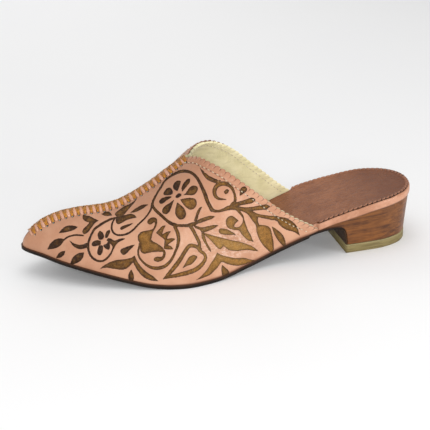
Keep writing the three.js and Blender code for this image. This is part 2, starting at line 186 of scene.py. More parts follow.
def arcAlong(points):
    return np.concatenate([[0], np.cumsum(np.linalg.norm(np.diff(points, axis=0), axis=1))])


def unit(vectors):
    return vectors / np.maximum(np.linalg.norm(vectors, axis=-1, keepdims=True), 1e-9)


def gridNormals(points, side):
    along = np.gradient(points, axis=0)
    up = np.gradient(points, axis=1)
    return unit(np.cross(up, along)) * signOf[side]


# Meshes, from millimetres to the frame's metres.

def toFrame(points):
    return (np.asarray(points, float) - (shoe["length"] / 2, shoe["middleAcross"], 0)) / 1000


def gridFaces(rowCount, columnCount, first=0, loop=False, turned=False):
    i = np.arange(rowCount - 1)[:, None]
    j = np.arange(columnCount if loop else columnCount - 1)[None, :]
    right = (j + 1) % columnCount
    corners = [i * columnCount + j, (i + 1) * columnCount + j,
               (i + 1) * columnCount + right, i * columnCount + right]
    faces = np.stack([np.broadcast_to(c, np.broadcast_shapes(i.shape, j.shape)) for c in corners], -1)
    faces = faces.reshape(-1, 4) + first
    return faces[:, ::-1] if turned else faces


def makePiece(name, points, faces, material, attributes=None, merge=True):
    mesh = bpy.data.meshes.new(name)
    flat = toFrame(points).reshape(-1, 3)
    faces = np.asarray(faces, int).reshape(-1, 4)
    mesh.vertices.add(len(flat))
    mesh.vertices.foreach_set("co", flat.astype(np.float32).ravel())
    mesh.loops.add(faces.size)
    mesh.loops.foreach_set("vertex_index", faces.astype(np.int32).ravel())
    mesh.polygons.add(len(faces))
    mesh.polygons.foreach_set("loop_start", np.arange(0, faces.size, 4, dtype=np.int32))
    for key, values in (attributes or {}).items():
        layer = mesh.attributes.new(key, "FLOAT", "POINT")
        layer.data.foreach_set("value", np.asarray(values, np.float32).ravel())
    mesh.update(calc_edges=True)
    if merge:
        work = bmesh.new()
        work.from_mesh(mesh)
        bmesh.ops.remove_doubles(work, verts=work.verts, dist=2e-6)
        work.to_mesh(mesh)
        work.free()
    mesh.validate()
    mesh.polygons.foreach_set("use_smooth", np.ones(len(mesh.polygons), bool))
    mesh.materials.append(material)
    piece = bpy.data.objects.new(name, mesh)
    bpy.context.scene.collection.objects.link(piece)
    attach(piece, "root")
    return piece


def sweep(bundle, path, normals, wide, high, sides=8):
    # adds a closed string or strip of elliptical section that follows a path
    path = np.asarray(path, float)
    tangent = unit(np.gradient(path, axis=0))
    across = unit(np.cross(tangent, normals))
    outward = unit(np.cross(across, tangent))
    wide = np.broadcast_to(wide, len(path))[:, None, None]
    high = np.broadcast_to(high, len(path))[:, None, None]
    turn = np.arange(sides) * 2 * math.pi / sides
    ring = (path[:, None, :] + across[:, None, :] * np.cos(turn)[None, :, None] * wide
            + outward[:, None, :] * np.sin(turn)[None, :, None] * high)
    first = bundle["count"]
    faces = gridFaces(len(path), sides, first, loop=True)
    caps = []
    for start, back in ((first, False), (first + (len(path) - 1) * sides, True)):
        for k in range(sides // 2 - 1):
            quad = [start + k, start + k + 1, start + sides - 2 - k, start + sides - 1 - k]
            caps.append(quad if back else quad[::-1])
    bundle["points"].append(ring.reshape(-1, 3))
    bundle["faces"] += [faces, np.array(caps)]
    bundle["count"] += ring.shape[0] * sides


def beadGirth(t, least):
    # half a bead's width along its length, where t runs from -1 to 1
    return np.sqrt(np.clip(1 - t ** 2, least, 1))


def newBundle():
    return {"points": [], "faces": [], "count": 0}


def makeBundle(name, bundle, material):
    return makePiece(name, np.concatenate(bundle["points"]), np.concatenate(bundle["faces"]),
                     material, merge=False)


# Materials.

def tint(red, green, blue):
    def linear(value):
        value /= 255
        return value / 12.92 if value <= 0.04045 else ((value + 0.055) / 1.055) ** 2.4
    return (linear(red), linear(green), linear(blue), 1)


class Finish:
    # a material and the few kinds of node that the shoe's finishes are made of
    def __init__(self, name, roughness=0.5, coat=0.0, coatRoughness=0.2, sheen=0.0, specular=0.5):
        self.material = bpy.data.materials.new(name)
        self.material.use_nodes = True
        self.tree = self.material.node_tree
        self.shader = self.tree.nodes["Principled BSDF"]
        self.shader.inputs["Roughness"].default_value = roughness
        self.shader.inputs["Coat Weight"].default_value = coat
        self.shader.inputs["Coat Roughness"].default_value = coatRoughness
        self.shader.inputs["Sheen Weight"].default_value = sheen
        self.shader.inputs["Specular IOR Level"].default_value = specular
        place = self.tree.nodes.new("ShaderNodeTexCoord")
        self.place = place.outputs["Object"]

    def node(self, kind, **settings):
        made = self.tree.nodes.new("ShaderNode" + kind)
        for key, value in settings.items():
            setattr(made, key, value)
        return made

    def feed(self, socket, value):
        if isinstance(value, bpy.types.NodeSocket):
            self.tree.links.new(value, socket)
        else:
            socket.default_value = value

    def stretched(self, x, y, z, turn=0.0):
        # the place on the shoe in millimetres, stretched along each direction
        mapping = self.node("Mapping")
        mapping.inputs["Scale"].default_value = (1000 * x, 1000 * y, 1000 * z)
        mapping.inputs["Rotation"].default_value = (0, turn, 0)
        self.feed(mapping.inputs["Vector"], self.place)
        return mapping.outputs["Vector"]

    def noise(self, size, detail=3.0, roughness=0.55, distortion=0.0, vector=None):
        made = self.node("TexNoise")
        made.inputs["Scale"].default_value = 1 / size
        made.inputs["Detail"].default_value = detail
        made.inputs["Roughness"].default_value = roughness
        made.inputs["Distortion"].default_value = distortion
        self.feed(made.inputs["Vector"], vector or self.stretched(1, 1, 1))
        return made.outputs["Fac"]

    def cells(self, size):
        made = self.node("TexVoronoi", feature="DISTANCE_TO_EDGE")
        made.inputs["Scale"].default_value = 1 / size
        self.feed(made.inputs["Vector"], self.stretched(1, 1, 1))
        return made.outputs["Distance"]

    def attribute(self, name):
        return self.node("Attribute", attribute_name=name).outputs["Fac"]

    def span(self, value, low, high, to=(0.0, 1.0)):
        made = self.node("MapRange", interpolation_type="SMOOTHSTEP")
        self.feed(made.inputs["Value"], value)
        made.inputs["From Min"].default_value = low
        made.inputs["From Max"].default_value = high
        made.inputs["To Min"].default_value = to[0]
        made.inputs["To Max"].default_value = to[1]
        return made.outputs["Result"]

    def reckon(self, operation, a, b):
        made = self.node("Math", operation=operation)
        self.feed(made.inputs[0], a)
        self.feed(made.inputs[1], b)
        return made.outputs["Value"]

    def sum(self, a, b):
        return self.reckon("ADD", a, b)

    def times(self, a, b):
        return self.reckon("MULTIPLY", a, b)

    def blend(self, factor, a, b, kind="MIX"):
        made = self.node("Mix", data_type="RGBA", blend_type=kind)
        self.feed(made.inputs["Factor"], factor)
        self.feed(made.inputs["A"], a)
        self.feed(made.inputs["B"], b)
        return made.outputs["Result"]

    def relief(self, height, depth, before=None):
        made = self.node("Bump")
        made.inputs["Distance"].default_value = depth / 1000
        self.feed(made.inputs["Height"], height)
        if before is not None:
            self.feed(made.inputs["Normal"], before)
        return made.outputs["Normal"]

    def finish(self, colour, normal=None, roughness=None):
        self.feed(self.shader.inputs["Base Color"], colour)
        if normal is not None:
            self.feed(self.shader.inputs["Normal"], normal)
            self.feed(self.shader.inputs["Coat Normal"], normal)
        if roughness is not None:
            self.feed(self.shader.inputs["Roughness"], roughness)
        return self.material


vampColours = {
    "light": tint(203, 154, 124),
    "warm": tint(190, 139, 109),
    "high": tint(172, 122, 94),       # painted shade towards the ridge and the throat, and towards the toe
    # painted shade for the laps between lobes, the stitch trough, the vamp's foot and the rib
    "creaseShade": tint(92, 50, 32),
    "burnt": tint(52, 27, 6),        # the outline of the carving
    "carvedGold": tint(170, 120, 52),
    "carvedBrown": tint(122, 79, 26),
    "carvedDeep": tint(66, 35, 6),
    "carvedBlack": tint(36, 16, 2),
    "paintedHighlight": tint(243, 212, 193),   # painted highlight: pale streaks where the leather flexes
    # the painted highlight on the carving's fill
    "paintedHighlightGold": tint(202, 160, 96),
}


def vampLeather():
    c = vampColours
    f = Finish("vampLeather", coat=0.24, coatRoughness=0.1, specular=0.14)
    clouds = f.span(f.noise(14, 4), 0.35, 0.65)
    body = f.blend(clouds, c["light"], c["warm"])
    # painted shade: darker up towards the ridge and towards the toe
    body = f.blend(f.attribute("height"), body, c["high"])
    specks = f.span(f.noise(0.5, 2, 0.7), 0.6, 0.74)
    body = f.blend(f.times(specks, 0.25), body, c["high"])
    # painted highlight: pale wavy streaks and specks over the flexed patch
    waves = f.span(f.noise(2.4, 4, 0.6, 1.8, f.stretched(0.4, 1, 0.9)), 0.46, 0.62)
    sparks = f.span(f.noise(0.6, 3, 0.7), 0.42, 0.66, (0.35, 1))
    wrinklesAndHighlight = f.attribute("wrinklesAndHighlight")
    highlightStreaks = f.times(f.times(waves, sparks), wrinklesAndHighlight)
    body = f.blend(f.times(highlightStreaks, 0.85), body, c["paintedHighlight"])
    # painted shade in the laps, the stitch trough, the vamp's foot and the rib
    body = f.blend(f.attribute("grooveShade"), body, c["creaseShade"])
    carve = f.attribute("carve")
    wobble = f.sum(f.span(f.noise(0.9, 3), 0.3, 0.7, (-0.09, 0.09)), carve)
    inside = f.span(wobble, 0.12, -0.04)
    burn = f.attribute("burn")
    grain = f.span(f.noise(0.5, 4, 0.75), 0.4, 0.6)
    pale = f.blend(grain, c["carvedBrown"], c["carvedGold"])
    dark = f.blend(grain, c["carvedBlack"], c["carvedDeep"])
    patches = f.span(f.noise(3.5, 3), 0.3, 0.7, (-0.25, 0.22))
    fill = f.blend(f.sum(burn, patches), pale, dark)
    scorch = f.span(f.sum(f.span(f.noise(1.3, 3), 0.3, 0.7, (-0.4, 0.4)), carve), -1.7, -0.25)
    fill = f.blend(f.times(scorch, 0.55), fill, c["carvedBlack"])
    # painted highlight on the carving in the flexed patch
    fill = f.blend(f.times(f.times(wrinklesAndHighlight, sparks), 0.6), fill, c["paintedHighlightGold"])
    outline = f.span(wobble, -0.5, -0.15)
    fill = f.blend(f.times(outline, 0.72), fill, c["burnt"])
    colour = f.blend(inside, body, fill)
    pores = f.relief(f.cells(0.55), 0.05)
    wrinkles = f.relief(f.noise(1.6, 5, 0.6, 0.6), 0.22, pores)
    wrinkles = f.relief(f.times(f.noise(2.2, 5, 0.62, 1.4), wrinklesAndHighlight), 1.2, wrinkles)
    pebble = f.relief(f.times(f.noise(0.6, 3, 0.7), inside), 0.35, wrinkles)
    gloss = f.span(f.noise(2.2, 4, 0.65), 0.3, 0.7, (0.24, 0.42))
    rough = f.sum(gloss, f.times(inside, 0.3))
    return f.finish(colour, pebble, rough)


def liningLeather():
    f = Finish("liningSuede", sheen=0.25, specular=0.25)
    clouds = f.span(f.noise(9, 4), 0.3, 0.7)
    colour = f.blend(clouds, tint(242, 232, 190), tint(226, 216, 168))
    streaks = f.span(f.noise(3, 4, 0.6, 0.4, f.stretched(0.3, 1, 1, 0.7)), 0.45, 0.7)
    colour = f.blend(f.times(streaks, 0.35), colour, tint(196, 184, 136))
    nap = f.noise(0.4, 3, 0.8)
    colour = f.blend(f.span(nap, 0.5, 0.8, (0, 0.3)), colour, tint(246, 240, 206))
    colour = f.blend(f.attribute("shade"), colour, tint(112, 108, 84))
    # painted shade in the laps between lobes and along the stitches
    colour = f.blend(f.attribute("grooveShade"), colour, tint(120, 108, 72))
    normal = f.relief(nap, 0.12, f.relief(f.noise(2.4, 3), 0.25))
    return f.finish(colour, normal, f.span(nap, 0.3, 0.7, (0.72, 0.9)))


def insoleLeather():
    f = Finish("insoleLeather", coat=0.08, coatRoughness=0.25, specular=0.16)
    long = f.noise(1.1, 5, 0.6, 0.9, f.stretched(0.11, 1, 1))
    fine = f.noise(0.5, 4, 0.7, 0.4, f.stretched(0.16, 1, 1))
    clouds = f.span(f.noise(22, 3), 0.35, 0.65)
    colour = f.blend(clouds, tint(170, 114, 82), tint(148, 96, 68))
    colour = f.blend(f.span(long, 0.38, 0.54, (0.5, 0)), colour, tint(100, 58, 40))
    colour = f.blend(f.span(fine, 0.54, 0.68, (0, 0.4)), colour, tint(202, 148, 118))
    # painted shade: darker towards the front, under the vamp
    colour = f.blend(f.attribute("deep"), colour, tint(122, 80, 60))
    colour = f.blend(f.attribute("back"), colour, tint(112, 68, 48))
    colour = f.blend(f.attribute("tab"), colour, tint(196, 140, 112))
    # painted shade in the notches between lobes, under the edge and along the seam
    colour = f.blend(f.attribute("grooveShade"), colour, tint(44, 22, 14))
    normal = f.relief(fine, 0.22, f.relief(long, 0.85))
    return f.finish(colour, normal, f.span(long, 0.35, 0.65, (0.34, 0.52)))


def randLeather():
    f = Finish("randLeather", coat=0.15, coatRoughness=0.2, specular=0.16)
    clouds = f.span(f.noise(7, 4), 0.35, 0.65)
    colour = f.blend(clouds, tint(198, 147, 119), tint(176, 124, 96))
    scuffs = f.span(f.noise(0.8, 4, 0.7, 0, f.stretched(0.5, 0.5, 1)), 0.6, 0.75)
    colour = f.blend(f.times(scuffs, 0.3), colour, tint(160, 106, 80))
    # painted shade along the strip's foot and inner side
    colour = f.blend(f.attribute("grooveShade"), colour, tint(70, 40, 26))
    normal = f.relief(f.noise(1.2, 4, 0.6), 0.15, f.relief(f.cells(0.5), 0.04))
    return f.finish(colour, normal, f.span(f.noise(3, 3), 0.3, 0.7, (0.34, 0.5)))


def heelWood():
    f = Finish("heelWood", coat=0.1, coatRoughness=0.25, specular=0.3)
    flow = f.stretched(0.08, 0.6, 1, 0.12)
    bands = f.noise(2.4, 6, 0.6, 1.1, flow)
    fibres = f.noise(0.5, 4, 0.7, 0.2, f.stretched(0.05, 0.8, 1, 0.12))
    colour = f.blend(f.span(bands, 0.32, 0.66), tint(76, 40, 14), tint(124, 74, 30))
    colour = f.blend(f.span(fibres, 0.5, 0.72, (0, 0.55)), colour, tint(66, 34, 12))
    glow = f.span(f.noise(11, 2), 0.4, 0.7, (0, 0.4))
    colour = f.blend(glow, colour, tint(140, 86, 38))
    normal = f.relief(fibres, 0.06, f.relief(bands, 0.08))
    return f.finish(colour, normal, f.span(fibres, 0.3, 0.7, (0.38, 0.54)))


def outsoleRubber():
    f = Finish("outsoleRubber", specular=0.14)
    mottle = f.span(f.noise(5, 4), 0.35, 0.65)
    colour = f.blend(mottle, tint(36, 26, 19), tint(22, 16, 12))
    colour = f.blend(f.attribute("welt"), colour, tint(78, 50, 34))
    colour = f.blend(f.attribute("flap"), colour, tint(78, 56, 38))
    dust = f.span(f.noise(0.7, 4, 0.75), 0.6, 0.76, (0, 0.25))
    colour = f.blend(dust, colour, tint(80, 68, 58))
    normal = f.relief(f.noise(0.6, 3, 0.7), 0.12)
    return f.finish(colour, normal, f.span(f.noise(4, 3), 0.3, 0.7, (0.42, 0.6)))


def topLiftRubber():
    f = Finish("topLiftRubber", specular=0.3)
    layers = f.noise(1.3, 4, 0.6, 0.2, f.stretched(0.1, 0.1, 1))
    colour = f.blend(f.span(layers, 0.35, 0.65), tint(108, 94, 58), tint(134, 120, 78))
    grit = f.span(f.noise(0.4, 3, 0.8), 0.58, 0.72, (0, 0.45))
    colour = f.blend(grit, colour, tint(84, 74, 46))
    colour = f.blend(f.times(f.attribute("rim"), 0.6), colour, tint(176, 164, 122))
    normal = f.relief(f.noise(0.5, 3, 0.7), 0.1)
    return f.finish(colour, normal, f.span(f.noise(3, 3), 0.3, 0.7, (0.55, 0.7)))


def threadFinish(name, light, dark, shine=0.2, gloss=0.0):
    f = Finish(name, sheen=shine, specular=0.4, coat=gloss, coatRoughness=0.15)
    twist = f.noise(0.35, 2, 0.6)
    colour = f.blend(f.span(twist, 0.35, 0.65), light, dark)
    shade = f.span(f.noise(2.5, 3), 0.35, 0.7, (0, 0.35))
    colour = f.blend(shade, colour, dark)
    return f.finish(colour, f.relief(twist, 0.12), f.span(twist, 0.3, 0.7, (0.45, 0.62)))


finishes = {
    "vamp": vampLeather(),
    "lining": liningLeather(),
    "insole": insoleLeather(),
    "rand": randLeather(),
    "wood": heelWood(),
    "outsole": outsoleRubber(),
    "topLift": topLiftRubber(),
    "beigeThread": threadFinish("beigeThread", tint(230, 218, 190), tint(176, 160, 128)),
    "goldThread": threadFinish("goldThread", tint(236, 164, 40), tint(124, 66, 10), 0.15),
    "pinkLace": threadFinish("pinkLace", tint(220, 170, 144), tint(178, 124, 96), 0.0, 0.7),
    # painted shade inside stitch holes, as dark discs, and painted glints beside them
    "holeShade": threadFinish("holeShade", tint(36, 24, 16), tint(22, 14, 10), 0.0),
    "holeGlint": threadFinish("holeGlint", tint(196, 208, 196), tint(140, 150, 138), 0.1),
}
print("finishes made")

# The carving, as a stencil laid on from the side and tipped down by its angle.
# Each shape has its outline or its middle line with widths, and how dark it is burnt.
stencilTip = math.radians(23)
carveReach = 1.2      # distances from the carving are worked out this far, in millimetres

leafShapes = [
    # large flower: heart and eight petals, clockwise from the top
    (1.0, [(156.4, 39.6), (157.6, 40.1), (159.4, 39.2), (160.1, 38), (159.4, 37.4), (157.8, 37.8),
        (156.6, 38.6)]),
    (0.95, [(155, 47.3), (156, 48), (157.7, 47.5), (159.3, 46), (160, 44.3), (159.7, 42.8), (158.2, 41.5),
        (156.8, 43.7)]),
    (0.95, [(161.3, 43.8), (162.3, 44.4), (164, 43.7), (165.5, 42.2), (166.2, 40.5), (164.7, 39.9),
        (161.3, 40.3), (160.8, 42)]),
    (0.95, [(161.7, 38.6), (164, 39.1), (166.3, 38.8), (168.3, 38), (169.5, 36.5), (169, 35.2),
        (167.7, 35.2), (165.3, 36.7), (163.3, 37.7)]),
    (0.8, [(161.1, 36.6), (164, 34.8), (166.7, 33.5), (168.7, 31.3), (168.9, 29.8), (167.3, 28.5),
        (165.3, 29.3), (163.7, 31.7), (162.3, 34.3)]),
    (0.6, [(159.6, 34.8), (161, 31.7), (161.8, 28.3), (161.2, 26), (159.7, 24.3), (157.7, 24.5),
        (156, 26.3), (155.8, 28.7), (157, 31.7), (158.7, 33.7)]),
    (0.42, [(157.7, 36.3), (155.7, 36.5), (151.7, 36.5), (149.3, 35.7), (148.5, 33.7), (149.2, 31.2),
        (151, 29.7), (153, 29.5), (154.7, 30.7), (156.3, 33)]),
    (0.68, [(155.2, 38.7), (153.3, 40.3), (151, 42.7), (149, 43.7), (147.2, 43.3), (146.4, 42),
        (147.2, 40), (149, 38.3), (150.7, 38), (153.3, 38.5)]),
    (0.85, [(149.7, 48), (150.7, 48.3), (152.3, 47.3), (154.3, 45.3), (155.5, 43.3), (155.7, 40.8),
        (154, 42.3), (152, 44.3), (150.3, 46)]),
    # leaves round the stem below the flower
    (0.6, [(145.5, 30.4), (147.2, 30), (149, 28), (150.3, 25.3), (151.7, 22.6), (150, 22.6), (148.3, 26),
        (146.7, 28.7)]),
    (0.55, [(138.2, 23.5), (141.1, 24.3), (145, 23.9), (149, 22.8), (151.5, 21), (149, 20.6), (145, 21.5),
        (141.1, 22.3)]),
    (0.5, [(136.8, 18), (139.6, 18.5), (144, 18.2), (147.3, 18), (150, 19), (152.4, 20), (151.7, 18.5),
        (150.3, 17.5), (148.7, 16.7), (147.7, 15.2), (143.2, 15.5), (139.6, 16.6)]),
    (0.4, [(142.7, 2.1), (143.3, 4.7), (144.7, 7.3), (145.5, 10), (146, 12.5), (146.8, 14.4), (148, 15),
        (148, 12), (147, 9.3), (145.7, 6.7), (144.3, 4)]),
    # heart leaf's drop
    (0.3, [(152, 0.7), (152.7, 1.5), (154.7, 2), (156.7, 1.3), (158.2, -0.3), (159.7, -2.7),
        (161.8, -5.3), (158.7, -4), (156.3, -3.5), (154.3, -2.3), (152.8, -0.7)]),
    # bud on its curled stalk, and its four fingers
    (0.35, [(173.9, 24.4), (174.5, 22.7), (175.7, 20.7), (177.3, 20.1), (180, 19.9), (182.3, 19.6),
        (184.5, 18.3), (185.3, 16.3), (185.2, 14.3), (184.5, 12.7), (184.7, 8), (183.3, 6.5),
        (179.3, 6.7), (175, 6.7), (172.2, 6.3), (171.3, 7.2), (173.3, 10.3), (175.3, 12), (177.7, 14.2),
        (177.3, 15.7), (176.3, 18.3), (175, 20.2), (173.7, 22), (172.8, 24.3)]),
    (0.6, [(172.7, 26.3), (173.5, 27.1), (175, 27.5), (177, 26.7), (178.2, 25.3), (178.2, 24.2),
        (177, 23.3), (175.7, 23.8), (174.6, 24.4), (172.9, 24.2)]),
    (0.35, [(168.3, 21.7), (170, 21.7), (172, 20.2), (174.5, 18), (173.3, 16.7), (171.7, 15),
        (170.2, 13.3), (170.5, 11.3), (171.2, 8), (168.7, 7.2), (165.8, 7.1), (166.7, 8.7), (168.9, 10),
        (166.7, 11.3), (163.8, 13), (165.3, 13.7), (168.7, 13.6), (168, 15.3), (165.8, 18), (167.7, 18),
        (171.1, 16.6), (170, 19.2)]),
    # between the scroll and the ridge
    (0.8, [(186.2, 25.5), (189.7, 25), (192, 24.7), (194, 23.8), (194.6, 23), (194, 22.2), (192.3, 22.7),
        (189.3, 23.8), (187.3, 24.8)]),
    (0.8, [(175.5, 35.5), (177.7, 35.9), (179.3, 35.7), (181.7, 34.8), (184.7, 33.4), (187.2, 31.8),
        (184.3, 31.9), (182.3, 32.4), (179.3, 33.5), (177.3, 34.7)]),
    (0.62, [(181.2, 40), (185, 37.7), (189.3, 36.3), (192.3, 34.7), (194.7, 33.3), (195.9, 32),
        (195.3, 30.7), (194.7, 30), (191, 31), (188.3, 33.3), (185, 36.2), (182.7, 38.2)]),
    (0.8, [(183.9, 28.5), (184.5, 29.8), (186, 31), (187.3, 31.2), (190.3, 30.8), (194.7, 30),
        (196, 28.7), (196.1, 26.8), (195.3, 25.8), (193, 26.3), (189.7, 27.7), (186.3, 28.3)]),
    (0.7, [(197.7, 31.6), (198.3, 33.3), (199.3, 34.2), (201.7, 34), (203.8, 33.3), (202.7, 32.2),
        (200.3, 31.5)]),
    (0.75, [(206.3, 29.5), (208.7, 31), (211, 32.7), (213.3, 33.5), (215, 34), (215.5, 32.3), (215, 30.7),
        (213, 29.3), (212, 29), (213.3, 27.7), (216, 25.7), (217.1, 23.7), (216.2, 22.3), (214, 23),
        (211.7, 25.3), (209, 28)]),
    # small flower: five petals, and a sixth that runs into its thorn
    (1.0, [(201, 23.2), (202.7, 22.3), (203.8, 20.7), (204.3, 18.7), (203.3, 18.3), (201.7, 20.3),
        (200.7, 22)]),
    (1.0, [(204.7, 19.7), (205.2, 21.7), (206.5, 23), (207.5, 22.5), (208.3, 21), (208.3, 19),
        (207.5, 17.7), (205.3, 18.3)]),
    (1.0, [(207, 17), (209.3, 17.7), (211.7, 17), (212.7, 15.5), (212, 14.3), (210, 14.3),
        (207.7, 14.7)]),
    (1.0, [(206.2, 14), (208.3, 14.3), (209.3, 12.7), (210, 10.3), (209.7, 8.8), (208.5, 8.4),
        (207.3, 9.5), (206.5, 11.7)]),
    (1.0, [(204.3, 14.7), (205.8, 14.2), (205.7, 13), (203.3, 10.9), (202.5, 12), (202.1, 14.3),
        (202.5, 16.3)]),
    (0.95, [(192.2, 16.7), (195, 17.1), (197.7, 16.5), (199.3, 16.3), (200.7, 17.5), (202.3, 18.1),
        (203.7, 17), (202, 15), (200.8, 13), (200.3, 11), (198.7, 13.3), (197, 14.8), (194.7, 15.7)]),
    # drops and leaves under the scroll and the small flower
    (0.85, [(187.7, 12.3), (190, 12.2), (193.7, 11.3), (196.3, 10.2), (196.3, 8.5), (195, 7),
        (193.3, 7.5), (191, 9.5), (189, 11)]),
    (0.55, [(188.5, 6), (190, 5), (192.7, 4.5), (195.7, 4.3), (200, 4.3), (202.7, 3.7), (205.3, 2.7),
        (207.3, 1.7), (209.5, 0), (206, 0.5), (203.3, -0.2), (200.3, -1), (197.7, -1.7), (195, -1.7),
        (193.7, -1.2), (192, 0), (190.7, 1.2), (189.7, 2)]),
    (0.5, [(188.5, 6), (187.7, 3), (186.3, 0), (184.3, -3), (181.7, -5.7), (179, -8), (176.2, -11.3),
        (179, -10.7), (181.7, -9.8), (184, -8.3), (186, -6.3), (187.3, -4), (188.7, -1.3), (189.8, 2.6)]),
    (0.7, [(191.3, -2.2), (193, -4.7), (193.5, -6.7), (193, -8.7), (191, -9.9), (190.3, -8),
        (190.3, -5.7), (190.8, -4)]),
    # leaves at the toe
    (0.9, [(215.2, 17), (216.7, 16.4), (219, 16), (222, 16.8), (225.5, 19.4), (223.4, 15.6),
        (220.5, 13.6), (218, 13.4), (215.2, 14.4)]),
    (0.85, [(219.3, 27), (222, 28.2), (225.6, 28.4), (228.6, 27), (231, 24.6), (227.6, 24.6), (224, 25),
        (221.2, 25.8)]),
    (0.85, [(217.8, 11.2), (220.4, 11.2), (223.2, 10), (225.4, 7.6), (226.6, 4.4), (223, 5), (220, 6.6),
        (218.4, 8.8)]),
    (0.9, [(228.4, 20.6), (231, 21.4), (234, 20.8), (237, 18.6), (239, 15.4), (235.6, 15.4), (232, 16.4),
        (229.6, 18.4)]),
    (0.9, [(228.6, 13.4), (231, 13.2), (233, 11.8), (234.4, 9.4), (231.8, 9.6), (229.6, 11)]),
    # scroll by the collar: its leaf, its dot and the leaf on the edge
    (0.6, [(142.7, 54), (142.3, 51.3), (141.5, 48.7), (140.3, 46.7), (138.3, 45), (135.7, 43.7),
        (133.4, 42.8), (132, 44.8), (133.6, 45.4), (136, 46.7), (138.7, 48.7), (140, 50.2),
        (141.6, 52.4)]),
    (0.42, [(127.8, 38.2), (128.4, 39), (129.7, 39), (131.1, 37.8), (130.2, 36.3), (129.2, 36.5),
        (128.3, 37.3)]),
    (0.5, [(116.3, 37.7), (117, 39.3), (118.7, 39.5), (120.3, 38.3), (120.7, 37), (121.3, 34.2),
        (120, 34.7), (118.3, 35.7), (117, 36.3)]),
    # leaves that spread from the scroll's foot to the collar
    (0.5, [(111.3, 31), (112.7, 32), (114.3, 32.2), (116.7, 31.7), (120, 31.1), (123.3, 30.6),
        (126.5, 31), (128.4, 29), (127, 27.4), (123, 27.8), (121.3, 28.3), (118.7, 28.5), (115.7, 28.7),
        (113.3, 29), (112, 30)]),
    (0.45, [(102, 25.6), (103.3, 26.8), (106.7, 27), (111, 26.7), (115.7, 26.6), (119.7, 27.1),
        (122.7, 27.9), (127.5, 29), (129.5, 27.8), (126.6, 26.3), (123.8, 25.6), (120.8, 24.9),
        (119, 23.9), (114.4, 24.1), (110, 24.1), (106.7, 24), (104, 24)]),
    # stem, narrow branch and leaf along the collar
    (0.35, [(120.8, 24.9), (119.3, 24.1), (117.5, 22.9), (115.7, 20.7), (113.9, 17.9), (112.1, 15.4),
        (111.4, 12.6), (109.7, 14.6), (110.1, 16.2), (110.4, 18.2), (110.2, 19.8), (107.1, 18.9),
        (103.9, 17.9), (100.4, 16.9), (98.5, 16.6), (97.3, 15.7), (96.3, 13.7), (94.7, 12), (92, 10),
        (89.3, 8.8), (86, 7.5), (83.7, 5.7), (82.5, 4.8), (83.3, 7.3), (84.3, 10.3), (85.3, 12), (87, 14),
        (88.7, 15.3), (90.7, 16.8), (93.3, 17.7), (96, 18.3), (98.6, 19.3), (102.1, 19.8), (105.7, 20.6),
        (109.3, 21.6), (112.1, 23), (114.3, 24.4), (118, 25.6)]),
    (0.22, [(111.5, 13.4), (109.7, 14.8), (107, 14.5), (104.3, 13.7), (102.3, 12), (101.5, 9.7),
        (101, 6.7), (100.3, 3.3), (100.2, 0.3), (100.3, -2), (102, -3.2), (104, -1.7), (106.3, 0.7),
        (108.3, 3.3), (110, 6.3), (111.2, 9.7)]),
    (0.35, [(101.2, 13), (98.7, 11.3), (96, 9), (94, 6.7), (92.8, 4.3), (92.2, 1.7), (92.3, 0.2),
        (93.3, -0.6), (95.3, 1.3), (97.3, 4), (99, 6.7), (100.2, 9.7)]),
    # hooked drop with its long spike
    (0.3, [(124.6, 26), (122.9, 23.9), (121.4, 22.1), (120.4, 20.4), (120.4, 18.6), (121.4, 16.8),
        (123.2, 15.5), (124.6, 15.3), (126.1, 15.7), (126.6, 16.3), (125.7, 17.5), (124.6, 18.6),
        (123.2, 19.2), (124.6, 20.4), (126.1, 21.8), (127.5, 22.6), (129.3, 22.5), (130.9, 21.6),
        (131.8, 20), (131.8, 18.2), (131.1, 16.4), (130, 15.2), (128.2, 14.5), (126.1, 13.9),
        (123.9, 13.5), (122.9, 12.7), (121.8, 10.7), (120, 8.6), (118.2, 6.8), (117, 6), (115, 5.4),
        (113.4, 4.5), (114.6, 6.4), (115.4, 8.6), (116.4, 10.7), (117.5, 12.9), (118.4, 15.7),
        (119.3, 18.6), (120, 22.1), (121.4, 24.3), (122.6, 26.4)]),
    (0.5, [(125.5, 10.7), (127.1, 12.1), (129.3, 13.6), (131.8, 15), (134.3, 15.7), (136.1, 15.8),
        (136.9, 15), (136.8, 13.8), (135.7, 12.7), (133.9, 12), (130.7, 11.4), (127.9, 11.1)]),
    # the two long leaves over the sole, and the small one under them
    (0.06, [(110.2, -1.8), (112.1, 0), (115, 2.3), (117.9, 3.7), (121.4, 5.4), (125.4, 6.8), (129.3, 7.9),
        (133.6, 9.5), (137.9, 11.1), (141.4, 12.5), (145, 14), (147.9, 15.6), (145.4, 12.5), (142.9, 10),
        (141, 7.5), (139.3, 5.4), (137.5, 3.6), (136.4, 3.4), (135, 4.7), (134.3, 4.9), (132.9, 3.6),
        (130.7, 2), (128.2, 1.3), (125.4, 0.7), (121.8, 0.7), (118.6, 0.5), (115, -0.4), (112.1, -1.1)]),
    (0.16, [(139.1, 1.6), (136.1, -0.4), (132.5, -1.8), (128.9, -3), (125.4, -3.8), (120.7, -4.3),
        (117.9, -5.4), (115, -6.3), (112.6, -7), (116.4, -7.6), (120, -8.3), (123.6, -8.6), (127.1, -8.2),
        (130.7, -7.1), (133.6, -5.9), (135.4, -4.9), (136.6, -4.7), (137.9, -6.1), (139.6, -7.9),
        (141.8, -9.6), (144.3, -11.4), (148.3, -12.5), (154, -13.6), (151, -12), (147.3, -9), (145, -6.5),
        (142.9, -3.9), (141.1, -1.8), (139.9, 0)]),
    (0.5, [(136.1, -6.4), (133.9, -8.6), (132.1, -10.4), (131.6, -12), (133.6, -13.2), (136.3, -13.6),
        (136.7, -10.4), (136.7, -8.4)]),
]
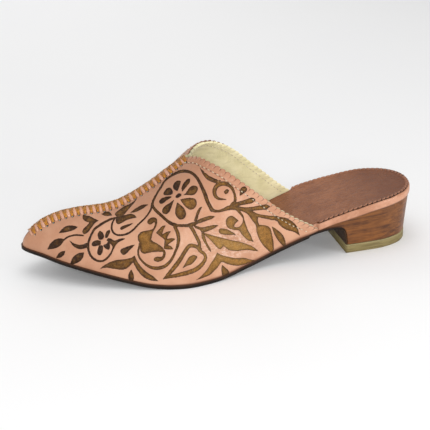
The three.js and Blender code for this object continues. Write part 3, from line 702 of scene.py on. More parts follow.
bandShapes = [   # middle line of each band: along, up and width
    # loop round the large flower
    (0.72, [(140, 27.8, 2.4), (140.7, 29.7, 2.3), (142, 33.3, 2.2), (142.8, 37.7, 2.3), (143.7, 41.3, 2),
        (144.8, 45.3, 1.8), (146, 48.7, 1.7), (147.7, 51.3, 1.8), (150.3, 53, 2), (153.3, 53.4, 2),
        (156, 52.8, 1.6), (158.7, 51.7, 1.2), (161.7, 50, 0.9), (164, 48.2, 0.9), (166.3, 45.3, 1),
        (168.7, 42.7, 1), (171, 39.7, 1), (173, 36.7, 1.2), (173.5, 35, 1.5), (173, 32.7, 1.6),
        (171.3, 30, 1.8), (169.3, 27.3, 1.7), (167.3, 24.7, 1.7), (165.3, 22.7, 2), (163, 21.3, 2.3)]),
    (0.5, [(127, 27.9, 2.9), (129.3, 27.7, 2.7), (132, 27.1, 1.9), (134.7, 26.6, 1.5), (137.3, 26.7, 1.6),
        (139.2, 27.4, 1.9), (140.4, 28.8, 2.3)]),
    (0.55, [(149.5, 21.6, 1.8), (151.5, 20.8, 2.2), (153.3, 20.5, 2.3), (156, 20.2, 1.8),
        (158.7, 20.5, 1.6), (161.3, 20.8, 1.6), (163.3, 21.2, 2)]),
    (0.4, [(154.3, 19.7, 2.2), (152.8, 16.7, 2), (151.8, 14, 2), (150.7, 11.3, 2), (150, 9, 1.9),
        (150, 6.7, 1.9), (150.7, 5.4, 1.9)]),
    # band of the heart leaf
    (0.28, [(149.8, 5, 2.2), (151.4, 6.5, 2), (153.6, 7.6, 2.3), (155.8, 7.9, 2.4), (157.4, 6.8, 2.3),
        (159.2, 4.7, 2.4), (161, 2.3, 2.3), (163.2, -0.6, 2.5), (165.6, -3.3, 2.6), (168, -5.8, 2.5),
        (170.4, -8.1, 2), (173.2, -10.3, 0.4)]),
    (0.2, [(173.2, -10.3, 0.3), (169.4, -9.4, 1.8), (165.6, -9.1, 2.4), (161.5, -8.6, 2.7),
        (157.3, -8, 2.9), (153.6, -7, 2.8), (150.8, -5.5, 2.7), (148.6, -3.7, 2.5), (147.1, -1.6, 2.2),
        (146.7, 0, 1.9), (147.2, 1.6, 1.8), (148.8, 3.2, 1.9), (150.2, 4.4, 2)]),
    # tail of the bud and the ring round it
    (0.4, [(171.4, 6.8, 1.4), (171.2, 5.2, 1.3), (172.2, 2.9, 1.6), (173.9, 2.1, 2.6), (175.6, 2.1, 3.1),
        (176.4, 2.2, 2.6)]),
    (0.36, [(163.3, 20.3, 1.8), (162.5, 17.7, 2), (162, 14.7, 2), (162.3, 11.7, 1.9), (163.3, 8.3, 1.5),
        (164.7, 5.7, 1.3), (166.3, 2.7, 1.4), (168.3, 0, 1.6), (171, -2.2, 1.9), (174, -3.2, 2.1),
        (177, -3.2, 2), (180, -2.2, 1.6), (183, 0, 1.3), (185, 2.7, 1.1), (186.2, 5.3, 1), (186.2, 8, 1),
        (185.3, 10.7, 1.1), (184.7, 12.5, 1.2)]),
    # long scroll from the loop, and the loop round the small flower
    (0.85, [(173.8, 35, 1), (175, 32.3, 0.9), (177.3, 29.5, 0.9), (180.3, 26.7, 0.9), (183.7, 24.2, 1),
        (186.3, 22, 1), (189, 20.2, 1.1), (191.7, 19.2, 1.1), (194.3, 19, 1.1), (197, 19.5, 1.1),
        (198.8, 21, 1.2), (199.5, 23.3, 1.1), (199, 25.7, 1), (198, 27.7, 0.9), (196.7, 29.3, 0.8)]),
    (0.85, [(195.3, 29.9, 1), (198.3, 29.5, 1.2), (201, 28.7, 1.3), (203.7, 27.7, 1.4),
        (206.7, 26.3, 1.5), (209.7, 24.5, 1.3), (211.7, 22, 1.2), (213.3, 19.3, 1.2), (214.5, 16.7, 1.3),
        (215, 14, 1.4), (214.8, 11.3, 1.3), (213.8, 8.3, 1.3), (212, 6.2, 1.3), (210, 5, 1.3),
        (208, 4.7, 1.2), (206, 5.3, 1.2), (204, 6.8, 1.2), (202, 9, 1), (200.7, 11.3, 0.9),
        (199.9, 13.5, 1)]),
    # scroll by the collar
    (0.42, [(125.4, 29.6, 2.2), (124.6, 31.4, 1.8), (124.3, 33, 1.7), (124.5, 36, 1.5),
        (125.3, 38.5, 1.7), (126.8, 40.8, 2), (129, 42.3, 2.5), (131.5, 42.9, 2.7), (134, 42.3, 2.6),
        (136, 40.7, 2.5), (136.9, 38.3, 2.4), (136.6, 35.8, 2.1), (135, 34.1, 1.6), (132.5, 33.4, 1),
        (130, 33, 0.3)]),
    # sprig towards the toe tip
    (0.9, [(217, 21.5, 0.9), (221, 22.2, 1), (225.6, 21.8, 1), (229, 20, 1)]),
]


def smoothLine(points, closed):
    # a smooth line through given points that keeps its sharp tips
    points = np.array(points, float)
    before = np.roll(points, 1, 0)
    after = np.roll(points, -1, 0)
    if not closed:
        before[0] = 2 * points[0] - points[1]
        after[-1] = 2 * points[-1] - points[-2]
    into = unit((points - before)[:, :2])
    out = unit((after - points)[:, :2])
    sharp = (into * out).sum(1) < 0.2
    direction = unit(into + out)
    count = len(points) if closed else len(points) - 1
    pieces = []
    for i in range(count):
        a = points[i]
        b = points[(i + 1) % len(points)]
        chord = (b - a)[:2]
        length = np.linalg.norm(chord)
        leave = chord if sharp[i] else direction[i] * length
        reach = chord if sharp[(i + 1) % len(points)] else direction[(i + 1) % len(points)] * length
        t = np.linspace(0, 1, 6)[:-1, None]
        spot = (a[:2] * (1 + 2 * t) * (1 - t) ** 2 + b[:2] * t * t * (3 - 2 * t)
                + leave * t * (1 - t) ** 2 - reach * t * t * (1 - t))
        pieces.append(np.hstack([spot, a[2:] + (b - a)[2:] * t]))
    if not closed:
        pieces.append(points[-1:])
    return np.concatenate(pieces)


def distanceToLine(spots, starts, ends, halfWidths=None):
    chord = ends - starts
    away = spots[:, None, :] - starts[None]
    t = (away * chord).sum(-1) / np.maximum((chord * chord).sum(-1), 1e-9)
    t = np.clip(t, 0, 1)
    distance = np.linalg.norm(away - t[..., None] * chord, axis=-1)
    if halfWidths is not None:
        distance = distance - (halfWidths[:-1] + (halfWidths[1:] - halfWidths[:-1]) * t)
    return distance.min(1)


def carvingField(along, up):
    # how far each spot lies outside the carving, and how dark the nearest shape is burnt
    spots = np.stack([along.ravel(), up.ravel()], -1)
    depth = np.full(len(spots), carveReach)
    burn = np.full(len(spots), 0.5)
    lines = [(tone, smoothLine(points, True), True) for tone, points in leafShapes]
    lines += [(tone, smoothLine(points, False), False) for tone, points in bandShapes]
    for tone, line, closed in lines:
        low = line[:, :2].min(0) - carveReach - 1.5
        high = line[:, :2].max(0) + carveReach + 1.5
        near = np.flatnonzero(((spots > low) & (spots < high)).all(1))
        if not len(near):
            continue
        here = spots[near]
        if closed:
            starts = line
            ends = np.roll(line, -1, 0)
            distance = distanceToLine(here, starts, ends)
            x, y = here[:, :1], here[:, 1:]
            crosses = (starts[:, 1] > y) != (ends[:, 1] > y)
            rise = np.where(ends[:, 1] == starts[:, 1], 1, ends[:, 1] - starts[:, 1])
            reachX = starts[:, 0] + (y - starts[:, 1]) * (ends[:, 0] - starts[:, 0]) / rise
            inside = (crosses & (x < reachX)).sum(1) % 2 == 1
            distance = np.where(inside, -distance, distance)
        else:
            distance = distanceToLine(here, line[:-1, :2], line[1:, :2], line[:, 2] / 2)
        closer = distance < depth[near]
        chosen = near[closer]
        depth[chosen] = distance[closer]
        burn[chosen] = tone
    return depth.reshape(along.shape), burn.reshape(along.shape)


# Vamp leather, lining, and what is sewn along the collar.

vampLayers = {
    "columns": 210,
    "ribColumns": 8,
    "rows": 390,
    "rowCrowding": 1.22,        # rows lie closer together towards the toe
    "bandColumns": 520,
    "bandRows": 40,
    "bandWidth": 6.5,           # the scalloped band along the collar is a finer net
    "leather": 0.8,
    "lining": 1.15,
    "scallopPitch": 3.7,
    "scallopDepth": 0.95,
    "puff": 0.42,
    "cuspDepth": 0.28,          # notch where one lobe laps over the next
    "stitchInset": 4.5,
    "stitchDepth": 0.16,        # trough that the collar's stitches pull in
    "carveDepth": 0.32,
    "wrinklesAndHighlightAt": (132, 6),       # middle of the patch that flexes and carries the painted highlight, along and up on the stencil
    "wrinklesAndHighlightReach": (20, 12),
    "roll": 0.36,               # how far the cut edge rounds out past the band
    "innerRows": (12, 5),       # rows of the band that its inner side follows
}
upperLength = shoe["length"] - shoe["upperMargin"]


def collarPath(side):
    # the collar edge from the sole to the throat, by distance along it
    share = np.linspace(0, 1, 500)
    at = readCurve(collar, side, share)
    turn = turnBeside(side, at, ribWidth(side, at)) * share
    edge = vampPoint(side, at, turn)
    ahead = vampPoint(side, at + 0.5, turnBeside(side, at + 0.5, ribWidth(side, at + 0.5)) * share)
    forward = unit(ahead - edge)
    arc = arcAlong(edge)
    line = unit(np.gradient(edge, arc, axis=0))
    slant = np.sqrt(np.clip(1 - (forward * line).sum(1) ** 2, 0.16, 1))
    return {"share": share, "arc": arc, "slant": slant, "at": at, "length": arc[-1]}


collarPaths = {side: collarPath(side) for side in signOf}


def scallopWave(side, share):
    path = collarPaths[side]
    arc = np.interp(share, path["share"], path["arc"])
    count = round(path["length"] / vampLayers["scallopPitch"])
    return arc / path["length"] * count


def vampNet(side, inset, shares, ribColumns, levels, recessBy=0.0):
    # part of one half of the vamp as a net of points, at a depth under the outer skin.
    # The function levels turns the collar's stations and slants into rows of stations.
    share = np.concatenate([shares, np.ones(ribColumns)])
    beside = np.concatenate([np.ones(len(shares)), np.linspace(1, 0, ribColumns + 1)[1:]])
    path = collarPaths[side]
    slant = np.interp(share, path["share"], path["slant"])
    wave = scallopWave(side, share)
    lobe = np.abs(np.sin(math.pi * wave)) ** 0.5
    recess = (vampLayers["scallopDepth"] * (1 - lobe) * beside + recessBy) / slant
    plainStart = shoe["throatAt"] + (readCurve(collar, side, share) - shoe["throatAt"]) * beside
    at = levels(plainStart, plainStart + recess, slant)
    turn = turnBeside(side, at, ribWidth(side, at) * beside) * share
    points = vampPoint(side, at, turn)
    normals = gridNormals(points, side)
    if at[-1].min() > upperLength - 0.01:
        normals[-1] = (1, 0, 0)
    fromEdge = (at - plainStart) * slant
    lift = ribLift(at) * (1 - beside ** 3) ** 0.8
    if inset > 0:
        lift = lift * (0.35 + 0.65 * smoothStep(fromEdge, 7, 2.5))
    if inset == 0:
        lift = lift + 0.75 * smoothStep(at, 84, 73) * smoothStep(share, 0.12, 0.0)
    return {
        "points": points + normals * (lift - inset)[..., None],
        "normals": normals,
        "at": at,
        "fromEdge": fromEdge,
        "wave": np.broadcast_to(wave, at.shape),
        "share": np.broadcast_to(share, at.shape),
        "beside": np.broadcast_to(beside, at.shape),
    }


def evenShares(side, count):
    # shares of the way up that are evenly spaced along the collar's edge
    path = collarPaths[side]
    return np.interp(np.linspace(0, path["length"], count), path["arc"], path["share"])


def fieldLevels(rows, crowding, fromEdge=None):
    def levels(plain, start, slant):
        first = start if fromEdge is None else plain + fromEdge / slant
        left = (1 - np.arange(rows + 1) / rows)[:, None] ** crowding
        return upperLength - (upperLength - first) * left
    return levels


def bandLevels(rows, width):
    def levels(plain, start, slant):
        down = (np.arange(rows + 1) / rows)[:, None] ** 1.15
        return start + (plain + width / slant - start) * down
    return levels


def lobeRelief(wave, fromEdge, bulge=0.28, depth=2.4):
    # lobes that lap over each other like scales: height, and the line at each lap that takes a crease and
    # painted shade
    u = (wave + bulge * np.sin(np.clip(fromEdge / depth, 0, 1) * math.pi / 2)) % 1
    height = smoothStep(u, 0, 0.17) * (1 - 0.8 * u ** 2.2)
    line = np.exp(-(np.minimum(u, 1 - u) / 0.042) ** 2)
    return height, line


def hump(value, middle, width):
    return np.exp(-((value - middle) / width) ** 2)


# Soft troughs (depth over 0) and ridges (under 0) in the vamp:
# from and to along and up on the stencil, width, depth.
vampCreases = [
    (112, 2.5, 128, 7.5, 2.2, 0.22), (120, -2.2, 137, 1.2, 1.8, 0.2), (132, 8.6, 143, 4.2, 1.6, 0.18),
    (141, 0.5, 147, -7, 1.8, 0.2), (137, 14, 148, 9.5, 1.6, 0.15), (114, 12, 117, 22, 2.4, 0.16),
    (146, 22, 160, 15, 3.0, -0.2), (176, 28, 190, 14, 4.0, -0.16), (198, 3, 214, 2, 3.2, 0.18),
    (150, -9, 170, -12, 2.6, 0.16), (160, 44, 176, 34, 4.0, 0.14), (204, 30, 222, 26, 3.4, 0.14),
    (126, 50, 140, 60, 3.0, 0.12), (88, 8, 98, 16, 3.0, 0.14),
]


def creaseDepth(along, up):
    depth = np.zeros(along.shape)
    spots = np.stack([along, up], -1)
    for a, b, c, d, width, deep in vampCreases:
        start, chord = np.array([a, b]), np.array([c - a, d - b])
        t = ((spots - start) * chord).sum(-1) / (chord @ chord)
        inner = np.clip(t, 0, 1)
        distance = np.linalg.norm(spots - start - inner[..., None] * chord, axis=-1)
        fade = smoothStep(1 - np.abs(2 * inner - 1), 0, 0.5)
        depth += deep * np.exp(-(distance / width) ** 2) * fade
    return depth


def dressVamp(side, skin):
    # carving, creases and scallops on a net of the outer skin, with their attributes
    v = vampLayers
    points, normals = skin["points"], skin["normals"]
    middle = centreShift(skin["at"])
    across = (points[..., 1] - middle) * signOf[side] + middle
    up = points[..., 2] * math.cos(stencilTip) - across * math.sin(stencilTip)
    depth, burn = carvingField(points[..., 0], up)
    depth = np.where(skin["beside"] < 1, carveReach, depth)
    fromEdge, beside = skin["fromEdge"], skin["beside"]
    height, line = lobeRelief(skin["wave"], fromEdge)
    onBand = beside * smoothStep(fromEdge, 3.9, 1.5)
    cusp = line * smoothStep(fromEdge, 3.1, 1.0) * beside
    relief = v["puff"] * height * onBand - v["cuspDepth"] * cusp
    seam = hump(fromEdge, v["stitchInset"], 0.6) * beside
    relief -= v["stitchDepth"] * seam
    relief -= v["carveDepth"] * smoothStep(depth, 0.25, -0.35)
    relief -= creaseDepth(points[..., 0], up)
    foot = smoothStep(skin["share"], 0, 0.02)
    points = points + normals * (relief * foot)[..., None]
    # painted shade: laps between lobes, the stitch trough, the foot against the sole and the rib under
    # the lacing
    grooveShade = np.clip(0.95 * cusp + 0.12 * seam, 0, 1)
    grooveShade = np.maximum(grooveShade, 0.75 * smoothStep(skin["share"], 0.012, 0))
    grooveShade = np.maximum(grooveShade, 0.5 * (1 - beside))
    # painted shade: darker up towards the ridge and towards the toe
    high = smoothStep(up, 22, 60) * 0.75 + 0.25 * smoothStep(points[..., 0], 180, 240)
    # the flexed patch: stronger wrinkles and the painted highlight
    (midAlong, midUp), (reachAlong, reachUp) = v["wrinklesAndHighlightAt"], v["wrinklesAndHighlightReach"]
    wrinklesAndHighlight = np.exp(-((points[..., 0] - midAlong) / reachAlong) ** 2 - ((up - midUp) / reachUp) ** 2)
    return points, {"carve": depth, "burn": burn, "height": high, "grooveShade": grooveShade, "wrinklesAndHighlight": wrinklesAndHighlight}


def makeVampHalf(side):
    v = vampLayers
    levels = fieldLevels(v["rows"], v["rowCrowding"], v["bandWidth"])
    skin = vampNet(side, 0, np.linspace(0, 1, v["columns"]), v["ribColumns"], levels)
    points, attributes = dressVamp(side, skin)
    faces = gridFaces(points.shape[0], points.shape[1], turned=side == "lateral")
    return makePiece("vamp" + side.capitalize(), points.reshape(-1, 3), faces, finishes["vamp"],
                     attributes)


def makeCollarBand(side):
    # the scalloped band: its cut edge rolls over to the leather's inner side, and its
    # other edge tucks just under the field
    v = vampLayers
    skin = vampNet(side, 0, evenShares(side, v["bandColumns"]), v["ribColumns"],
                   bandLevels(v["bandRows"], v["bandWidth"]))
    points, attributes = dressVamp(side, skin)
    normals = skin["normals"]
    along = unit(np.gradient(points, axis=0))[0]
    rim = []
    for turn in np.linspace(math.pi, 0, 7)[:-1]:
        inward = v["leather"] / 2 * (1 - math.cos(turn))
        rim.append(points[0] - along * (v["roll"] * math.sin(turn)) - normals[0] * inward)
    inner = [points[row] - normals[row] * v["leather"] for row in v["innerRows"]]
    last = points[-1] + unit(points[-1] - points[-2]) * 0.5 - normals[-1] * 0.1
    rows = np.concatenate([np.array(inner), np.array(rim), points, last[None]])
    before = len(inner) + len(rim)

    def padded(values, edgeValue=None):
        first = np.broadcast_to(values[0] if edgeValue is None else edgeValue, (before, values.shape[1]))
        return np.concatenate([first, values, values[-1:]])

    faces = gridFaces(rows.shape[0], rows.shape[1], turned=side == "lateral")
    layers = {key: padded(attributes[key]) for key in ("carve", "burn", "height", "grooveShade", "wrinklesAndHighlight")}
    # painted shade on the rolled cut edge and the band's inner side
    layers["grooveShade"] = padded(attributes["grooveShade"], 0.6)
    makePiece("collarBand" + side.capitalize(), rows.reshape(-1, 3), faces, finishes["vamp"],
              layers)


liningLayers = {
    "rows": 105,
    "rowCrowding": 1.7,
    "columns": 400,
    "ribColumns": 6,
    "clearance": 0.05,
    "recess": {"lateral": -0.1, "medial": -0.7},    # its edge stands out past the outer leather's
    "roll": 0.4,
    "throatReach": 0.35,        # its rim is thicker near the throat, up to the band
}
liningStitch = {"inset": 2.9, "pitch": 2.9, "share": 0.6, "radius": 0.3}
# Folds in the lining under the throat: share of the way up, width, depth, and how much
# they lean away from the throat further in.
liningFolds = [(0.985, 0.006, 0.5, 0.0010), (0.965, 0.009, -0.5, 0.0016), (0.942, 0.006, 0.55, 0.0024),
               (0.915, 0.012, -0.5, 0.0032), (0.885, 0.007, 0.45, 0.0040), (0.845, 0.02, -0.35, 0.0046)]


def makeLining():
    v, n = vampLayers, liningLayers
    points, faces, grooveShadeRows, shades = [], [], [], []
    first = 0
    for side in signOf:
        levels = fieldLevels(n["rows"], n["rowCrowding"])
        skin = vampNet(side, v["leather"] + v["lining"] + n["clearance"], evenShares(side, n["columns"]),
                       n["ribColumns"], levels, n["recess"][side])
        fromEdge, normals = skin["fromEdge"], skin["normals"]
        height, line = lobeRelief(skin["wave"], fromEdge, 0.1, 1.6)
        cusp = line * smoothStep(fromEdge, 2.2, 0.3)
        relief = -0.26 * height * smoothStep(fromEdge, 2.8, 0.9) + 0.2 * cusp
        relief += 0.1 * hump(fromEdge, liningStitch["inset"], 0.5)
        share = skin["share"]
        shade = 0.55 * smoothStep(share, 0.83, 0.99) * smoothStep(fromEdge, 34, 12)
        for upShare, width, deep, slope in liningFolds:
            fold = hump(share, upShare - slope * fromEdge, width) * smoothStep(fromEdge, 40, 22)
            relief += deep * fold * smoothStep(fromEdge, 0.5, 5)
            shade = np.maximum(shade, (0.85 if deep > 0 else 0.0) * fold)
        foot = smoothStep(share, 0, 0.03)
        skinPoints = skin["points"] + normals * (relief * foot * skin["beside"])[..., None]
        along = unit(np.gradient(skinPoints, axis=0))[0]
        rim = []
        for turn in np.linspace(0, math.pi, 6)[:-1]:
            thick = v["lining"] / 2 + n["throatReach"] * smoothStep(share[0], 0.75, 0.88)
            reach = thick * (1 + math.cos(turn))
            rim.append(skinPoints[0] - along * (n["roll"] * math.sin(turn)) + normals[0] * reach[:, None])
        rows = np.concatenate([np.array(rim), skinPoints])
        faces.append(gridFaces(rows.shape[0], rows.shape[1], first, turned=side == "medial"))
        points.append(rows.reshape(-1, 3))
        # painted shade in the laps between lobes and along the stitch line
        grooveShade = np.clip(0.6 * cusp + 0.15 * hump(fromEdge, liningStitch["inset"], 0.5), 0, 1)
        grooveShade = grooveShade * skin["beside"]
        grooveShadeRows.append(np.concatenate([np.repeat(grooveShade[:1], len(rim), 0), grooveShade]).ravel())
        shades.append(np.concatenate([np.repeat(shade[:1], len(rim), 0), shade]).ravel())
        first += rows.shape[0] * rows.shape[1]
    makePiece("lining", np.concatenate(points), np.concatenate(faces), finishes["lining"],
              {"grooveShade": np.concatenate(grooveShadeRows), "shade": np.concatenate(shades)})


def besideCollar(side, arc, inset, above):
    # a point and its normal at a distance along the collar and inward from its edge
    path = collarPaths[side]
    arc = np.clip(np.asarray(arc, float), 0, path["length"])
    share = np.interp(arc, path["arc"], path["share"])
    slant = np.interp(arc, path["arc"], path["slant"])

    def spot(shareNow, atNow):
        return vampPoint(side, atNow, turnBeside(side, atNow, ribWidth(side, atNow)) * shareNow)

    at = readCurve(collar, side, share) + inset / slant
    here = spot(share, at)
    forward = spot(share, at + 0.3) - here
    higher = spot(np.minimum(share + 0.004, 1), at) - here
    lower = spot(share - 0.004, at) - here
    rise = np.where((share > 0.99)[..., None], -lower, higher)
    normal = unit(np.cross(rise, forward)) * signOf[side]
    return here + normal * np.asarray(above)[..., None], normal


seamEnds = {"foot": 3.0, "throat": 1.0}     # the collar's seams stop this far from its two ends
collarStitch = {"pitch": 3.1, "share": 0.4, "radius": 0.34}


def stitchStarts(side, pitch):
    last = collarPaths[side]["length"] - seamEnds["throat"] - pitch
    return np.arange(seamEnds["foot"], last, pitch)


def addCollarStitches(bundle, side, inset, depth, pitch, share, radius):
    inward = -1 if depth > 0 else 1
    for start in stitchStarts(side, pitch):
        steps = np.linspace(0, 1, 9)
        arcs = start + pitch * share * steps
        arch = np.sin(math.pi * steps) ** 0.6
        above = -depth + inward * radius * (arch * 1.1 - 0.55)
        path, normal = besideCollar(side, arcs, inset, above)
        girth = radius * (0.3 + 0.7 * arch)
        sweep(bundle, path, normal, girth, girth * 0.85, 8)


def addCollarHoleShades(bundle, side):
    # dark discs of painted shade in the holes that the running stitch goes down
    c = collarStitch
    for start in stitchStarts(side, c["pitch"]):
        t = np.linspace(-1, 1, 7)
        middle = start + c["pitch"] * (c["share"] + 1) / 2
        path, normal = besideCollar(side, middle + 0.5 * t, vampLayers["stitchInset"], np.full(7, -0.16))
        girth = 0.3 * beadGirth(t, 0.03)
        sweep(bundle, path, normal, girth, girth * 0.3 + 0.06, 8)


def makeCollarStitches():
    c, inside = collarStitch, liningStitch
    bundle, holeShades = newBundle(), newBundle()
    for side in signOf:
        addCollarStitches(bundle, side, vampLayers["stitchInset"], 0, c["pitch"], c["share"], c["radius"])
        inner = vampLayers["leather"] + vampLayers["lining"] + liningLayers["clearance"]
        addCollarStitches(bundle, side, inside["inset"], inner, inside["pitch"], inside["share"],
                          inside["radius"])
        addCollarHoleShades(holeShades, side)
    makeBundle("collarHoleShades", holeShades, finishes["holeShade"])
    makeBundle("collarStitches", bundle, finishes["beigeThread"])


# Overcast loops that lie on the scallops' edge at the collar's rear ends.
overcast = {"lobes": 5, "radius": 0.19}


def makeOvercastLoops():
    v = vampLayers
    bundle = newBundle()
    for side in signOf:
        length = collarPaths[side]["length"]
        pitch = length / round(length / v["scallopPitch"])
        for k in range(overcast["lobes"]):
            t = np.linspace(0, 1, 26)
            # from the notch on the throat's side along the lobe, then down over its face
            u = np.clip(1.02 - t * 1.12, -0.1, 1)
            lobe = np.abs(np.sin(math.pi * u)) ** 0.5
            dive = smoothStep(t, 0.8, 1)
            inset = v["scallopDepth"] * (1 - lobe) * (1 - dive) - 0.3 * lobe + dive * 1.5
            above = -0.35 + 0.75 * smoothStep(t, 0.72, 0.9) - 0.55 * smoothStep(t, 0.93, 1)
            path, normal = besideCollar(side, (k + u) * pitch, inset, above)
            thin = 0.55 + 0.45 * np.sin(math.pi * np.clip(t, 0.02, 0.98)) ** 0.5
            sweep(bundle, path, normal, overcast["radius"] * thin, overcast["radius"] * thin, 8)
    makeBundle("overcastLoops", bundle, finishes["beigeThread"])


# The ridge: gold thread and pink lace laid over the seam from hole to hole.

turnPitch = 3.95
ridge = {
    "tops": [149.2, 152.0, 155.0, 158.4] + [162.3 + turnPitch * k for k in range(22)],
    "last": 248.5,
    "holeAt": 4.9,          # distance of the holes from the ridge line
    "lean": 0.2,            # each turn runs this far back on its way down to the outer side
    "threads": 4,
    "threadRadius": 0.26,
    "topSpacing": 0.88,
    "holeSpacing": 0.14,
    "laceHalfWidth": 1.2,
}


def acrossRidge(at, distance, above):
    # points over the ridge, with distance from plus on the outer side to minus on the inner
    at = np.asarray(at, float)
    distance = np.asarray(distance, float)
    found = np.zeros(at.shape + (3,))
    normals = np.zeros(at.shape + (3,))
    for side, sign in signOf.items():
        here = distance * sign >= 0
        away = np.abs(distance[here])
        spot = vampPoint(side, at[here], turnBeside(side, at[here], away))
        further = vampPoint(side, at[here], turnBeside(side, at[here], away + 0.2))
        forward = vampPoint(side, at[here] + 0.3, turnBeside(side, at[here] + 0.3, away)) - spot
        normal = unit(np.cross(spot - further, forward)) * sign
        found[here] = spot
        normals[here] = normal
    top = (np.abs(distance) < 0.05)[..., None]
    normals = np.where(top, unit(normals * (1, 0, 1)), normals)
    return found + normals * np.asarray(above)[..., None], normals


def holeDistance(at):
    return np.minimum(ridge["holeAt"], 0.55 * vampHalfWidth("lateral", at))


def overRidge(topAt, offset, extra, spread=1.0, squeeze=1.0):
    # One turn from the outer hole over the top to the inner hole. A squeeze under 1
    # draws the offset in towards the holes.
    t = np.linspace(-1, 1, 27)
    at = topAt + offset * (1 + (squeeze - 1) * np.abs(t) ** 1.3) + ridge["lean"] * t * spread
    at = np.minimum(at, upperLength - 0.6)
    distance = -t * holeDistance(at) * spread
    tent = 1 - np.abs(t) ** 1.7
    above = ribLift(np.minimum(at, upperLength - 2)) * tent
    above = above + extra * (1 - np.abs(t) ** 6) - 0.25 * np.abs(t) ** 8
    return acrossRidge(at, distance, above)


def makeRidgeLacing():
    r = ridge
    gold, lace, holeShades, glints = newBundle(), newBundle(), newBundle(), newBundle()
    rng = np.random.default_rng(7)
    tops = [top for top in r["tops"] if top < r["last"]]
    squeeze = r["holeSpacing"] / r["topSpacing"]
    for k, top in enumerate(tops):
        following = tops[k + 1] if k + 1 < len(tops) else top + turnPitch
        shrink = float(np.clip((upperLength - top) / 14, 0.35, 1))
        for n in range(r["threads"]):
            offset = (n - (r["threads"] - 1) / 2) * r["topSpacing"] + rng.normal(0, 0.06)
            rise = 0.62 + rng.normal(0, 0.07) - 0.06 * abs(n - 1.5)
            path, normal = overRidge(top, offset, rise, 0.97 + 0.03 * rng.random(), squeeze)
            sweep(gold, path, normal, r["threadRadius"], r["threadRadius"] * 0.9, 6)
        # slack threads that cross to the next turn over the top of the lace
        for n, start in enumerate((0.5, 1.1)):
            path, normal = overRidge((top + following) / 2, 0.0, 0.72 + 0.05 * n, 0.34 + 0.05 * n)
            sway = np.array([(following - top) * 0.34 * start, 0, 0])
            cross = np.linspace(-1, 1, len(path))[:, None] * sway
            sweep(gold, path + cross, normal, r["threadRadius"] * 0.9, r["threadRadius"] * 0.8, 6)
        middle = (top + following) / 2
        half = r["laceHalfWidth"] * min((following - top) / turnPitch, 1) * shrink ** 0.5
        path, normal = overRidge(middle, rng.normal(0, 0.05), 0.22, 0.98)
        t = np.linspace(-1, 1, len(path))
        girth = half * (0.72 + 0.28 * np.clip(np.abs(t) * 1.6, 0, 1)) * (1 - 0.45 * np.abs(t) ** 10)
        sweep(lace, path, normal, girth, 0.4 + 0.2 * np.sin(math.pi * np.abs(t)), 12)
        # painted shade in each hole: a dark disc, with a painted glint beside it
        for sign in (1, -1):
            at = top - sign * r["lean"]
            if at > upperLength - 5:
                continue
            reach = float(holeDistance(np.array(at))) + 0.35
            t = np.linspace(-1, 1, 9)
            girth = 0.78 * beadGirth(t, 0.02) * shrink
            path, normal = acrossRidge(at + 0.15 * t, sign * (reach + 0.8 * shrink * t), np.full(9, 0.02))
            sweep(holeShades, path, normal, girth, girth * 0.24, 10)
            path, normal = acrossRidge(at + 0.12 * t + 0.2, sign * (reach + 0.28 + 0.32 * shrink * t),
                                       np.full(9, 0.18))
            sweep(glints, path, normal, girth * 0.42, girth * 0.2, 8)
    makeBundle("ridgeGoldThread", gold, finishes["goldThread"])
    makeBundle("ridgePinkLace", lace, finishes["pinkLace"])
    makeBundle("ridgeHoleShades", holeShades, finishes["holeShade"])
    makeBundle("ridgeHoleGlints", glints, finishes["holeGlint"])


upperPieces = [makeVampHalf(side) for side in signOf]
for side in signOf:
    makeCollarBand(side)
print("vamp carved")
makeLining()
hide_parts("upper")
makeCollarStitches()
makeOvercastLoops()
makeRidgeLacing()
print("upper sewn")

# Insole, edge strip, outsole, heel and top lift.

insole = {
    "heelPoints": 430,      # along each side of the heel part
    "frontPoints": 190,     # along each side of the forepart
    "lobePitch": 3.2,
    "lap": 0.85,            # from the sole's edge to the lobes, which lap over the edge strip
    "lobeDepth": 0.85,
    "puff": 0.55,
    "rise": 0.4,
    "insetBehind": 3.2,     # from the sole's edge, just behind the vamp's rear ends
    "wall": 2.0,            # the vamp with its lining
    "heelEnd": 73.0,        # station where the heel part ends
    "lastHole": 69,         # the seam's holes stop at this station
}


# Stations where the vamp's rear ends meet the insole, its lobes and the edge strip.
vampEnds = {
    "insole": {"lateral": 70.4, "medial": 71.8},
    "lobes": {"lateral": 70.3, "medial": 71.9},
    "strip": {"lateral": 69.6, "medial": 71.0},
}


def insoleInset(side, at):
    behind = insole["insetBehind"]
    inside = shoe["upperMargin"] + insole["wall"] + shoe["gap"] + 0.1
    end = vampEnds["insole"][side]
    share = smoothStep(at, end - 1.3, end + 0.3)
    return behind + (inside - behind) * share + 1.3 * smoothStep(at, 196, shoe["length"])


def insoleSide(side):
    # angles along one side from the heel back to the toe, close together round the heel
    fine = np.linspace(0, math.pi, 4000)
    edge = edgeLine(side, fine, 0)
    arc = arcAlong(edge)
    heelArc = float(np.interp(insole["heelEnd"], stationAt(fine), arc))
    places = np.concatenate([np.linspace(0, heelArc, insole["heelPoints"], endpoint=False),
                             np.linspace(heelArc, arc[-1], insole["frontPoints"])])
    lobes = round(heelArc / insole["lobePitch"])
    return np.interp(places, arc, fine), places / heelArc * lobes


